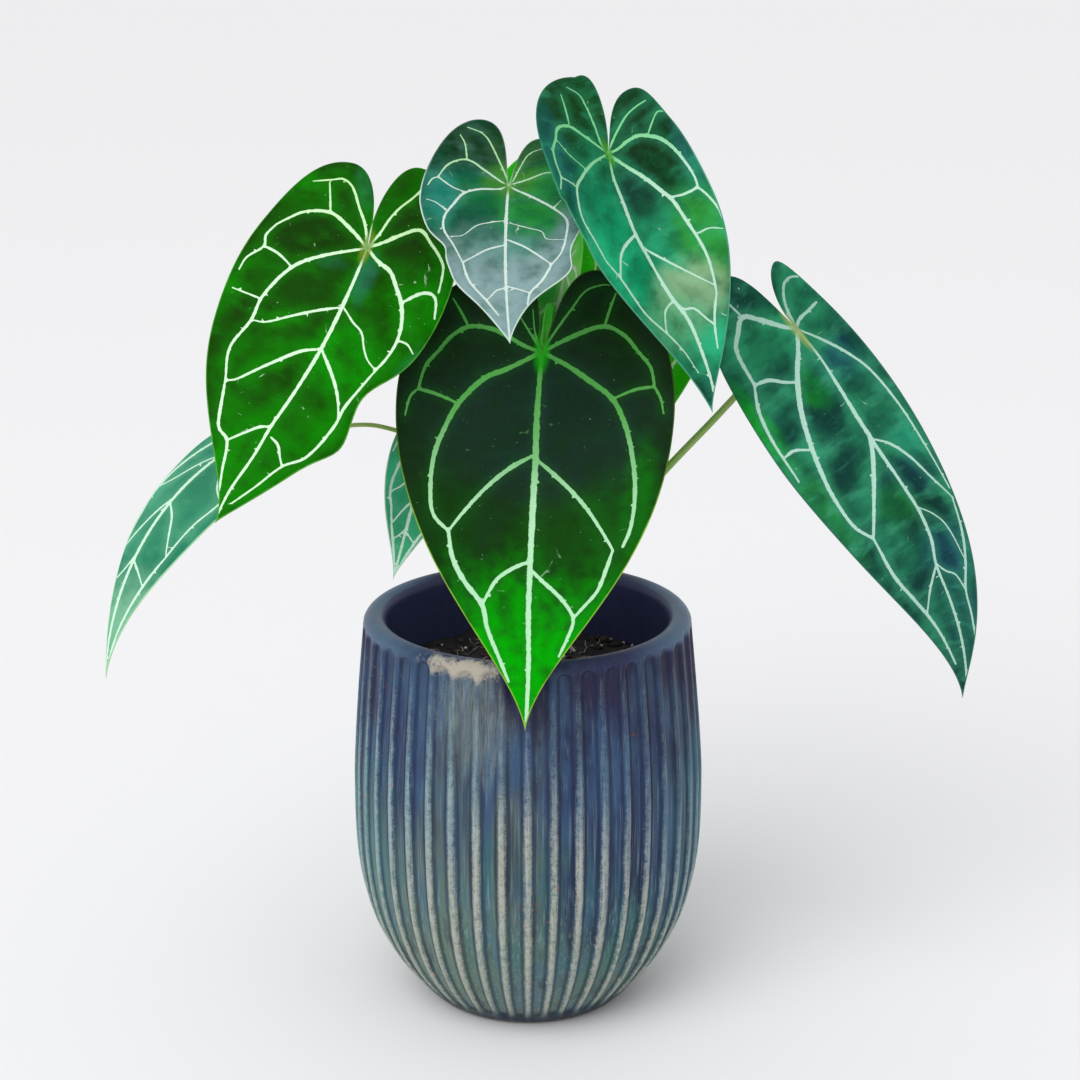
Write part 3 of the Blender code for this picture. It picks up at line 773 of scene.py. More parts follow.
def blade_mesh(bold, loop):
    """A fine flat mesh of a blade that follows its margin and its veins."""
    edge = [(np.concatenate([loop, loop[:1]]), np.ones(len(loop) + 1))]
    low, high = loop.min(0), loop.max(0)
    rows = np.arange(low[1], high[1], GROUND_SPACING * 0.87)
    ground = np.array([(x + row % 2 * GROUND_SPACING / 2, y) for row, y in enumerate(rows)
                       for x in np.arange(low[0], high[0], GROUND_SPACING)])
    near, _ = distance_to(ground, bold)
    loose = [beside(loop, BESIDE_MARGIN)]
    loose += [beside(line, widths * reach) for line, widths in bold for reach in BESIDE_VEIN]
    loose = np.concatenate(loose + [ground[near > GROUND_CLEAR]])
    near, _ = distance_to(loose, edge)
    loose = loose[(near > MARGIN_CLEAR) & inside_of(loose, loop)]
    cells = {}
    for point in loose:
        cells.setdefault((round(point[0] / CELL), round(point[1] / CELL)), point)
    flat = [tuple(p) for p in loop]
    edges = []
    for line, _ in bold:
        first = len(flat)
        flat += [tuple(p) for p in line]
        edges += [(first + i, first + i + 1) for i in range(len(line) - 1)]
    flat += [tuple(p) for p in cells.values()]
    made = delaunay_2d_cdt([Vector(p) for p in flat], edges, [list(range(len(loop)))], 1, 1e-4, False)
    flat = np.array([tuple(p) for p in made[0]])
    triangles = np.array([t for t in made[2] if len(t) == 3])
    return flat, triangles[inside_of(flat[triangles].mean(1), loop)], distance_to(flat, edge)[0]


def blade_faces(shape, flat, triangles, rim, nearest, ratio):
    """The blade in place: upper and lower face with their relief, joined round the rim."""
    middle = on_blade(shape, flat)
    a, b, c = (middle[triangles[:, i]] for i in range(3))
    cross = np.cross(b - a, c - a)
    turn, _ = along_midrib(shape, flat[triangles].mean(1)[:, 1])
    flip = np.einsum("ni,ni->n", cross, turn[:, :, 2]) < 0
    triangles[flip] = triangles[flip][:, ::-1]
    cross[flip] *= -1
    normal = np.zeros_like(middle)
    for i in range(3):
        np.add.at(normal, triangles[:, i], cross)
    normal /= np.maximum(np.linalg.norm(normal, axis=1), 1e-12)[:, None]
    inner = np.clip(rim / 4, 0, 1)
    swell = shape["quilt"] * (1 - np.exp(-(nearest / QUILT_REACH) ** 1.5)) * inner
    groove = GROOVE_DEPTH * np.exp(-ratio ** 2) * inner
    ridge = RIDGE_HEIGHT * np.exp(-(ratio / 1.1) ** 2) * inner
    thick = BLADE_HALF * (0.35 + 0.65 * np.clip(rim / 1.2, 0, 1))
    upper = middle + normal * (thick + swell - groove)[:, None]
    lower = middle + normal * (swell - thick - ridge)[:, None]
    count = len(flat)
    sides = np.concatenate([triangles[:, [0, 1]], triangles[:, [1, 2]], triangles[:, [2, 0]]])
    _, first, uses = np.unique(np.sort(sides, axis=1), axis=0, return_index=True, return_counts=True)
    border = sides[first[uses == 1]]
    rims = np.stack([border[:, 1], border[:, 0], border[:, 0] + count, border[:, 1] + count], 1)
    faces = triangles.tolist() + (triangles[:, ::-1] + count).tolist() + rims.tolist()
    which = [0] * len(triangles) + [1] * len(triangles) + [0] * len(rims)
    return np.concatenate([upper, lower]), faces, which


def leaf_finish(name, look, under):
    """A velvety upper face or a matt, paler lower face, with crisp veins, a thin pale rim, and painted
    highlights and shade on the tissue between them.
    """
    material, wire, shader = new_finish(name)
    flat = wire.stored("flat", "Vector")
    share = wire.stored("share", "Vector")
    ratio, hair, near, rim = (wire.stored(number) for number in ("vein", "hair", "near", "rim"))
    cloud = flat.speckle(30, 3)
    mottle = flat.speckle(8, 3)
    grain = flat.speckle(0.8, 3)
    pleats = flat.speckle(11, 3, (0.6, 1.3, 1))
    # The velvet, with washes of other greens on it, some of them painted sheen; painted shade in the middle
    # of each cell, painted highlight and shade over the pleats, and a painted highlight beside the veins.
    body = cloud.rise(0.35, 0.65).mix(look["deep"], look["green"])
    for paint, centre, reach, strength in look["washes"]:
        far = share.away((*centre, 0), (*reach, 1))
        wash = (far + (cloud - 0.5) * 0.6 + (mottle - 0.5) * 0.5).rise(1.3, 0.4) * strength
        body = wash.mix(body, paint)
    body = (mottle.rise(0.45, 0.75) * 0.45).mix(body, look["deep"])
    # Painted shade: darker in the middle of each cell, away from the veins.
    body = (near.rise(3.0, 9.0) * 0.35).mix(body, look["deep"])
    # Painted highlight and shade across the puckered pleats.
    body = (pleats.rise(0.50, 0.74) * look["pleat_light_and_shade"]).mix(body, look["halo"])
    body = (pleats.rise(0.50, 0.28) * look["pleat_light_and_shade"]).mix(body, look["deep"])
    # Painted highlight: lighter beside the veins.
    body = (near.rise(5.5, 0.8) * look["vein_highlight"]).mix(body, look["halo"])
    # The fine net of the smallest veins.
    bend = wire.node("TexNoise", None, {"Vector": flat, "Scale": 0.2}, 1).scaled(5.0)
    mesh_of = {"Vector": flat.vector("ADD", bend), "Scale": 0.2}
    net = wire.node("TexVoronoi", {"feature": "DISTANCE_TO_EDGE"}, mesh_of, "Distance")
    netting = net.rise(0.16, 0.0)
    body = (netting * 0.025).mix(body, look["halo"])
    # The veins, the hub where they meet, the rim and the flecks.
    pale = (share.axis("Y") + (cloud - 0.5) * 0.2).rise(*look["pale_from"])
    vein_paint = pale.mix(*look["vein"])
    edge = (flat.speckle(1.6, 3) - 0.5) * 0.7
    vein = (ratio + edge).rise(1.2, 0.86)
    hairline = (hair + edge).rise(1.6, 0.7) * flat.speckle(5).rise(0.42, 0.60)
    body = (hairline * look["hair"]).mix(body, vein_paint)
    body = vein.mix(body, vein_paint)
    body = (share.length().rise(0.075, 0.03) * 0.8).mix(body, look["hub"])
    edging = (rim + (mottle - 0.5) * 0.6).rise(0.75, 0.25) * (0.15 + pale * 0.85)
    body = edging.mix(body, look["rim"])
    fleck = flat.speckle(1.1, 1).rise(0.775, 0.80)
    body = (fleck * 0.5).mix(body, look["vein"][1])
    relief = grain * 0.35 + mottle * 0.5 + pleats * 1.2 - netting * 0.3 + vein * 0.5
    rough = look["rough"] + (grain - 0.5) * 0.16 + (cloud - 0.5) * 0.14
    if under:
        body = wire.node("Mix", {"data_type": "RGBA"}, {0: 0.55, 6: body, 7: look["under"]}, 2)
        rough = rough + 0.14
    coat(shader, body, rough, relief, 0.45, 0.5, 0.02)
    return material


def stalk_line(shape, stalk):
    """The middle line of a stalk, from its sheath beside the stem to behind its blade."""
    thick, thin = stalk["radius"]
    turn, height = stalk["foot"]
    ring = STEM_RADIUS + 0.3 + thick
    foot = Vector((ring * cos(radians(turn)), ring * sin(radians(turn)), height))
    frames, places = along_midrib(shape, np.array([2.5]))
    face = Vector(frames[0][:, 2])
    heading = Vector(stalk["meets"]).normalized()
    joint = Vector(places[0]) - face * (0.95 + 0.3 + thin * sin(face.angle(heading)))
    points = [foot] + [Vector(p) for p in stalk["route"]] + [joint - heading * 9, joint]
    inward = Vector((-foot.x, -foot.y, 0)).normalized()
    root = [foot + inward * aside - Vector((0, 0, down)) for aside, down in HIDDEN_ROOT]
    line = smooth_through(points, headings(points)[:-1] + [heading], 13)
    return root + line + [joint + heading * 1.1]


def stalk_finish(name, low, high):
    """Smooth stalk that goes from one green to another, with fine streaks, pale flecks and a brown sheath."""
    material, wire, shader = new_finish("stalk_" + name)
    flat = wire.stored("flat", "Vector")
    part = wire.stored("part")
    streak = flat.speckle(1.6, 3, (1, 0.08, 1))
    blotch = flat.speckle(14, 3)
    fleck = flat.speckle(0.9, 1)
    body = (part + (blotch - 0.5) * 0.3).rise(0.35, 0.92).mix(low, high)
    body = (streak.rise(0.45, 0.75) * 0.35).mix(body, STALK_STREAK)
    body = (fleck.rise(0.70, 0.78) * 0.6).mix(body, STALK_FLECK)
    body = (part + (blotch - 0.5) * 0.06).rise(0.09, 0.02).mix(body, SHEATH_BROWN)
    coat(shader, body, 0.36 + streak * 0.2, streak + fleck * 0.3, 0.4, 0.3)
    return material


def grow_stalk(name, shape, stalk, seed):
    """Make one stalk, swollen at its sheath and at its knee behind the blade."""
    line = stalk_line(shape, stalk)
    thick, thin = stalk["radius"]
    parts = np.linspace(0, 1, len(line))
    knee, swell = stalk.get("knee", PLAIN_KNEE)
    bulge = 0.45 * np.exp(-(parts / 0.05) ** 2) + swell * np.exp(-((parts - knee) / 0.035) ** 2)
    radii = (thick + (thin - thick) * parts) * (1 + bulge)
    run = np.concatenate([[0], np.cumsum([(b - a).length for a, b in zip(line, line[1:])])])
    turns = np.tile(np.arange(STALK_SIDES) / STALK_SIDES * 2 * pi * thick, len(line))
    place = np.stack([turns + 17 * seed, np.repeat(run, STALK_SIDES), 0 * turns], 1)
    put("stalk_" + name, *tube(line, radii, STALK_SIDES), [stalk_finish(name, *stalk["greens"])], "petiole",
        "petiole_" + name, {"flat": place, "part": np.repeat(parts, STALK_SIDES)}, 60)


def grow(name, shape, stalk, veins, hairs, look, seed):
    """Make one leaf: its blade with both finishes, and its stalk. Vein routes are in hundredths of the half
    width across and of the length down."""
    shape = PLAIN_SHAPE | shape
    look = PLAIN_LOOK | look
    loop = np.concatenate([half_margin(shape, 0), half_margin(shape, 1)[-2:0:-1]])
    bold, faint = lay_veins(shape, veins, hairs, loop, seed)
    flat, triangles, rim = blade_mesh(bold, loop)
    nearest, ratio = distance_to(flat, bold)
    _, hair = distance_to(flat, faint)
    points, faces, which = blade_faces(shape, flat, triangles, rim, nearest, ratio)
    half = np.array(shape["half"], float)[(flat[:, 0] >= 0).astype(int)]
    share = np.stack([flat[:, 0] / half, flat[:, 1] / shape["length"], 0 * half], 1)
    place = np.stack([flat[:, 0] + 31 * seed, flat[:, 1], 0 * half], 1)
    numbers = {"flat": np.tile(place, (2, 1)), "share": np.tile(share, (2, 1)), "vein": np.tile(ratio, 2),
               "hair": np.tile(hair, 2), "near": np.tile(nearest, 2), "rim": np.tile(rim, 2)}
    finishes = [leaf_finish(name + "_upper", look, False), leaf_finish(name + "_lower", look, True)]
    put("leaf_" + name, points, faces, finishes, "leaf_" + name, "blade_" + name, numbers, 70, which)
    grow_stalk(name, shape, stalk, seed)


grow("front",
     dict(at=(7, -50, 343.5), length=175, half=(65, 63), lobe=(37, 40), crest=(0.30, 0.30), broad=(25, 26),
          full=(0.46, 0.51), drip=(0.20, 0.21), sinus=(0.05, 0.08), cast=5, lean=-5, tilt=18, face=4,
          droop=8, sway=-4, fold=1, curl=5, ruffle=1.0, quilt=0.9),
     dict(foot=(-78, 184), route=[(4, -17, 240), (7, -22, 300), (10, -27, 346), (10.5, -33, 361)],
          # Painted light: the bright upper green 2cf014 stands in for light on the stalk, which lies in
          # shade.
          meets=(-0.15, -0.80, -0.58), radius=(2.4, 1.9), greens=("2f9a1c", "2cf014"), knee=(0.91, 0.6)),
     [(2.9, [(0, 1), (0, 18), (1, 28), (1, 42), (1, 58), (1, 70), (2, 82), (1, 98)]),
      (2.5, [(0, 0), (-23, 5), (-39, 8), (-56, 15), (-65, 22), (-71, 29), (-72, 38), (-69, 44), (-58, 48)]),
      (2.3, [(-58, 48), (-54, 55), (-45, 61), (-32, 67), (-28, 73), (-20, 80), (-12, 87)]),
      (2.5, [(0, 0), (19, 3), (38, 7), (54, 11), (65, 18), (72, 27), (75, 36), (73, 45), (68, 50)]),
      (2.1, [(0, 0), (-11, -1), (-23, -3), (-37, -5), (-53, -5), (-65, -2), (-73, 2), (-81, 6), (-85, 12)]),
      (1.2, [(-85, 12), (-90, 14), (-93, 19)]),
      (1.7, [(-85, 12), (-72, 13), (-56, 15)]),
      (1.3, [(-53, -5), (-60, -9), (-66, -12)]),
      (2.1, [(0, 0), (23, -5), (44, -8), (59, -6), (70, -2), (80, 2), (84, 7)]),
      (1.3, [(84, 7), (89, 10), (92, 14)]),
      (1.6, [(84, 7), (71, 8), (54, 11)]),
      (1.3, [(44, -8), (47, -13), (50, -17)]),
      (1.1, [(0, 0), (9, -6), (19, -12), (28, -17), (40, -19), (45, -19)]),
      (1.0, [(0, 0), (-10, -5), (-18, -9)]),
      (0.7, [(0, 0), (-6, -5), (-9, -11)]),
      (2.0, [(0, 27), (-17, 31), (-32, 36), (-46, 42), (-58, 48)]),
      (2.0, [(1, 28), (19, 33), (37, 39), (50, 45), (61, 51)]),
      (1.8, [(61, 51), (56, 57), (51, 62), (40, 67), (33, 70)]),
      (1.9, [(1, 55), (-11, 57), (-22, 60), (-27, 63), (-32, 67)]),
      (1.9, [(1, 57), (10, 60), (20, 63), (28, 66), (34, 70), (30, 75), (24, 80)])],
     [[(3, 18), (20, 20), (38, 25), (47, 30), (57, 32), (72, 32)], [(74, 25), (86, 25), (92, 28)],
      [(4, 46), (16, 50), (28, 56)], [(-5, 20), (-25, 25), (-50, 27)], [(-32, 52), (-34, 57)]],
     dict(deep="152e10", green="1c3222", halo="1a561a", rim="86b43c", vein=("58a850", "b2e4b8"),
          vein_highlight=0.28, pleat_light_and_shade=0.12, under="7fae7a", hub="14a00c", pale_from=(0.10, 0.52), hair=0.35, rough=0.48,
          washes=[("1c3034", (0.05, 0.20), (0.9, 0.22), 0.55), ("125008", (0.35, 0.50), (0.6, 0.14), 0.8),
                  ("0e4208", (-0.60, 0.50), (0.4, 0.18), 0.7), ("086400", (0.0, 0.66), (0.9, 0.15), 0.6),
                  ("00aa00", (0.05, 0.94), (1.1, 0.35), 1.0),
                  ("0a7c06", (0.80, 0.46), (0.16, 0.24), 0.75),
                  ("145a14", (0.62, 0.44), (0.3, 0.16), 0.6)]),
     seed=1)


# ---- Centre leaf ----------------------------------------------------------------------------------------
# A small young blade above the front leaf, lifted at a steep angle, its velvet greyed by the light. It is a
# thin blade on its own stalk, which meets it from behind.

grow("centre",
     dict(at=(-8, -54, 420.5), length=97, half=(39, 37), lobe=(39, 30), crest=(0.42, 0.30), broad=(14, 14),
          full=(0.28, 0.40), drip=(0.12, 0.22), sinus=(0.06, 0.05), cast=2, lean=-6, tilt=58, face=6,
          droop=5, sway=-8, nod=-12, fold=7, curl=1, ruffle=0.8, quilt=0.7,
          swells=[(1, 60, 10, 8), (0, 42, 6, -3.5), (0, 64, 9, 3)]),
     dict(foot=(-116, 192), route=[(-9, -20, 250), (-13, -27, 320), (-13, -32, 372), (-11, -42, 398)],
          meets=(0.15, -0.40, 0.90), radius=(2.2, 1.7), greens=("5aa832", "8fae50")),
     [(1.5, [(0, 1), (0, 24), (0, 40), (0, 66), (0, 98)]),
      (1.2, [(0, 0), (-9, 3), (-33, 5), (-50, 9), (-61, 17), (-70, 25), (-70, 33), (-59, 42), (-48, 53)]),
      (1.2, [(-48, 53), (-41, 64), (-23, 75), (-10, 84)]),
      (1.2, [(0, 0), (-9, -2), (-28, -8), (-51, -14), (-71, -10), (-82, 0)]),
      (0.8, [(-82, 0), (-88, 2), (-92, 7)]),
      (0.9, [(-82, 0), (-63, 6), (-48, 8)]),
      (0.9, [(0, 0), (-3, -5), (-12, -14), (-29, -28), (-39, -32), (-56, -34)]),
      (0.8, [(-51, -14), (-56, -24), (-63, -29)]),
      (0.6, [(-69, 21), (-82, 17), (-92, 16)]),
      (1.2, [(0, 0), (8, 3), (29, 9), (56, 18), (73, 27), (73, 38), (67, 49), (55, 56)]),
      (1.2, [(55, 56), (43, 65), (28, 72), (24, 79)]),
      (1.0, [(0, 0), (22, -3), (48, -7), (66, -3)]),
      (0.7, [(0, 0), (5, -3), (13, -13), (22, -21), (37, -24)]),
      (0.5, [(57, 18), (66, 13)]),
      (0.6, [(0, 24), (-16, 26), (-33, 29), (-49, 36), (-62, 37)]),
      (1.0, [(0, 40), (-21, 44), (-36, 49), (-48, 53)]),
      (0.8, [(0, 67), (-11, 69), (-18, 73), (-23, 75)]),
      (0.5, [(5, 26), (25, 30), (44, 34), (49, 39), (69, 41)]),
      (1.0, [(3, 37), (24, 43), (55, 56)]),
      (0.8, [(0, 66), (15, 69), (28, 72)])],
     [[(9, 58), (27, 60), (34, 65)]],
     dict(deep="124a36", green="1b7862", halo="6aa890", rim="bfd4c8", vein=("a8d8a0", "cadcd4"),
          vein_highlight=0.10, under="7fa890", hub="4a8a06", pale_from=(-0.15, 0.1), hair=0.6,
          # Painted sheen: the silver-grey washes 88a0a4 and 8098a0.
          washes=[("88a0a4", (0.0, 0.76), (1.3, 0.40), 0.95),
                  ("0e3014", (-0.40, -0.24), (1.0, 0.28), 1.0),
                  ("0c6a30", (-0.35, 0.08), (0.5, 0.13), 0.8), ("1c842c", (0.35, 0.20), (0.5, 0.18), 0.9),
                  ("24883a", (0.7, -0.04), (0.6, 0.16), 0.95),
                  ("24501a", (0.25, -0.26), (0.5, 0.18), 0.95),
                  ("3a8000", (0.0, -0.03), (0.36, 0.12), 0.95),
                  ("1c8070", (-0.75, 0.10), (0.22, 0.16), 0.8),
                  ("8098a0", (0.85, 0.38), (0.25, 0.25), 0.7)]),
     seed=2)


# ---- Crown leaf -----------------------------------------------------------------------------------------
# The topmost blade, right of the middle: long lobes, green velvet with a painted blue-teal sheen, darker
# round its stalk and at its tip. Its stalk climbs straight from the stem.

grow("crown",
     dict(at=(36.5, -52, 434.5), length=128, half=(41, 38), lobe=(45, 24), crest=(0.30, 0.30),
          broad=(20, 36), full=(0.30, 0.47), drip=(0.32, 0.12), sinus=(-0.23, 0.16), cast=16, lean=24,
          tilt=32, face=-20, droop=40, sway=-12, nod=3, fold=22, curl=20, ruffle=1.0, quilt=0.9,
          swells=[(0, 12, 22, -2.5), (0, 36, 8, -2)]),
     dict(foot=(-36, 190), route=[(17, -17, 240), (28, -24, 320), (35, -29, 385), (37.5, -38, 408)],
          meets=(0, -0.57, 0.81), radius=(2.4, 1.8), greens=("4fa030", "7fb050")),
     [(1.8, [(0, 1), (-6, 9), (-7, 19), (-8, 30), (-3, 41), (5, 55), (14, 65), (15, 76), (13, 87), (8, 97)]),
      (1.4, [(0, 0), (-24, 3), (-40, 6), (-53, 9), (-65, 12), (-74, 18), (-77, 23), (-71, 30), (-66, 37)]),
      (1.1, [(-66, 37), (-54, 44), (-39, 57), (-20, 66), (-7, 74), (2, 84)]),
      (1.5, [(0, 0), (-15, -5), (-25, -8), (-38, -11), (-56, -10), (-68, -5), (-79, -1), (-84, 4),
            (-86, 9), (-95, 13)]),
      (0.8, [(-66, -5), (-57, 0), (-48, 3), (-39, 6)]),
      (0.9, [(-86, 9), (-76, 10), (-66, 12)]),
      (1.2, [(0, 0), (-4, -4), (-3, -11), (-3, -20), (-6, -26), (-18, -29)]),
      (1.0, [(-37, -12), (-33, -19), (-31, -25)]),
      (1.1, [(0, 0), (9, -3), (24, -7), (39, -10), (54, -11), (66, -11)]),
      (1.7, [(0, 0), (14, 0), (26, -1), (41, -1), (53, 1), (65, 4), (75, 9), (82, 15), (86, 21), (85, 25)]),
      (1.1, [(85, 25), (92, 29), (97, 34), (97, 38)]),
      (0.9, [(54, 0), (64, -3), (74, -5), (80, -4)]),
      (1.3, [(85, 25), (66, 25), (51, 24)]),
      (1.7, [(0, 0), (14, 7), (30, 14), (41, 20), (50, 25), (55, 32), (61, 41), (63, 48), (60, 56),
            (57, 60)]),
      (1.2, [(57, 60), (48, 65), (41, 70), (34, 78)]),
      (0.7, [(62, 39), (78, 39), (93, 41)]),
      (1.0, [(-4, 36), (21, 45), (39, 51), (58, 57)]),
      (1.5, [(-8, 31), (-29, 34), (-41, 37), (-53, 43)]),
      (1.2, [(7, 57), (-9, 59), (-15, 62), (-20, 66)]),
      (1.1, [(8, 58), (14, 61), (25, 62), (35, 67), (41, 70)])],
     [[(-2, 24), (11, 28), (22, 32), (36, 38), (51, 42)], [(-8, 19), (-25, 20), (-36, 22)],
      [(-3, -18), (3, -23)], [(8, 47), (20, 49)]],
     # Painted sheen: the blue-teal in these greens.
     dict(deep="124e30", green="28aa78", halo="3cb886", rim="4f9a7a", vein=("7ccc90", "b8dec8"),
          vein_highlight=0.15, pleat_light_and_shade=0.22, under="6fae94", hub="3f8a14", pale_from=(-0.05, 0.25), hair=0.6,
          washes=[("0f2a0c", (0.50, 0.08), (0.62, 0.24), 1.0),
                  ("143014", (0.35, -0.10), (0.6, 0.14), 0.95),
                  ("123a0e", (-0.25, -0.20), (0.6, 0.22), 1.0),
                  ("164e50", (-0.80, -0.03), (0.26, 0.25), 0.9),
                  ("12342e", (0.12, 0.17), (0.26, 0.12), 0.95),
                  ("2f9030", (0.72, 0.40), (0.42, 0.18), 0.9), ("9ab48c", (0.28, 0.56), (0.5, 0.12), 0.8),
                  ("14a874", (-0.4, 0.36), (0.35, 0.25), 0.75), ("58a070", (0.0, 0.64), (0.5, 0.12), 0.7),
                  ("163f3a", (0.1, 0.97), (0.7, 0.13), 0.95), ("2a6a72", (0.92, 0.12), (0.16, 0.14), 0.4)]),
     seed=3)


# ---- Left leaf ------------------------------------------------------------------------------------------
# A broad, clear green blade at the left, hanging out and down, with near-white veins. Its right margin curls
# forward. It is the same thick velvety tissue on a stalk that arches over.

grow("left",
     dict(at=(-72, -52, 392), length=143, half=(56, 43), lobe=(37, 41), crest=(0.30, 0.34), broad=(35, 11),
          full=(0.60, 0.40), drip=(0.15, 0.11), sinus=(0.03, -0.12), cast=-2, lean=-21, tilt=25, face=15,
          droop=0, sway=18, nod=-12, fold=0, curl=-5, ruffle=1.0, quilt=1.1,
          swells=[(1, 62, 13, -7), (1, 88, 9, 4)]),
     dict(foot=(-152, 186), route=[(-18, -13, 240), (-32, -20, 300), (-52, -28, 346), (-65, -36, 366)],
          meets=(-0.25, -0.62, 0.74), radius=(2.4, 1.8), greens=("4fa030", "7fb050")),
     [(1.7, [(0, 1), (-1, 20), (-2, 36), (-5, 54), (-7, 65), (-6, 76), (-6, 89), (-2, 98)]),
      (1.7, [(0, 0), (-33, 7), (-53, 14), (-66, 27), (-66, 36), (-71, 48), (-60, 59)]),
      (1.5, [(-60, 59), (-48, 71), (-43, 74), (-32, 76), (-21, 85), (-13, 91)]),
      (1.7, [(0, 0), (-21, -5), (-39, -8), (-60, -6), (-72, -2), (-79, 1)]),
      (1.2, [(-79, 1), (-84, 6), (-82, 10), (-92, 16), (-94, 21)]),
      (1.3, [(-82, 10), (-68, 11), (-53, 14)]),
      (1.3, [(0, 0), (-8, -7), (-17, -12), (-27, -18), (-36, -20), (-45, -19)]),
      (0.8, [(-45, -19), (-53, -18), (-61, -17)]),
      (1.0, [(-39, -8), (-43, -13), (-47, -18)]),
      (1.0, [(-67, 28), (-81, 28), (-93, 28)]),
      (1.3, [(-2, 21), (-20, 25), (-38, 30), (-55, 35), (-66, 36)]),
      (1.5, [(-3, 36), (-16, 39), (-30, 45), (-42, 51), (-53, 57), (-60, 59)]),
      (1.3, [(-7, 65), (-15, 67), (-23, 71), (-32, 76)]),
      (1.8, [(0, 0), (15, 3), (32, 5), (44, 9), (55, 13), (63, 18), (67, 24), (65, 30), (60, 35)]),
      (1.3, [(60, 35), (54, 42), (49, 49), (49, 56), (40, 68), (24, 74), (12, 84), (2, 92)]),
      (1.5, [(55, 13), (73, 8), (86, 8), (94, 14)]),
      (0.9, [(67, 24), (78, 24), (88, 26)]),
      (1.6, [(0, 0), (18, -4), (30, -7), (48, -10), (63, -7), (76, -4), (84, -1), (88, 6)]),
      (1.2, [(0, 0), (8, -6), (13, -11), (20, -15), (33, -20), (40, -24)]),
      (1.0, [(2, 21), (16, 24), (29, 26), (38, 30), (47, 33), (60, 35)]),
      (1.5, [(-1, 36), (14, 40), (28, 44), (39, 48), (49, 53)]),
      (1.2, [(-2, 68), (8, 69), (17, 72), (24, 74)])],
     [[(-35, 7), (-43, 4), (-54, 1)], [(-3, 54), (10, 55), (26, 58), (38, 66)], [(-30, 46), (-42, 60)],
      [(46, 8), (60, 6), (72, 4)]],
     dict(deep="123e02", green="0e7600", halo="168a0c", rim="4f9a34", vein=("c4ecb0", "d2f2cf"),
          pleat_light_and_shade=0.25, under="6fb070", hub="6a8a20", pale_from=(-0.2, 0.15),
          washes=[("123404", (-0.45, 0.00), (0.5, 0.14), 0.95),
                  ("143a06", (-0.35, 0.20), (0.4, 0.10), 0.8),
                  ("246a50", (0.10, 0.10), (0.12, 0.09), 0.85),
                  ("1c6038", (-0.25, 0.08), (0.15, 0.03), 0.7),
                  ("2f9058", (1.0, 0.40), (0.2, 0.18), 0.85), ("1c5a4c", (0.95, 0.66), (0.3, 0.1), 0.85),
                  ("143404", (0.40, -0.10), (0.45, 0.12), 0.9),
                  ("248240", (-0.12, -0.24), (0.14, 0.12), 0.8),
                  ("068800", (0.25, 0.36), (0.4, 0.14), 0.8), ("0a7c00", (0.1, 0.62), (0.5, 0.12), 0.6),
                  ("0c8400", (-0.1, 0.85), (0.5, 0.12), 0.6)]),
     seed=4)
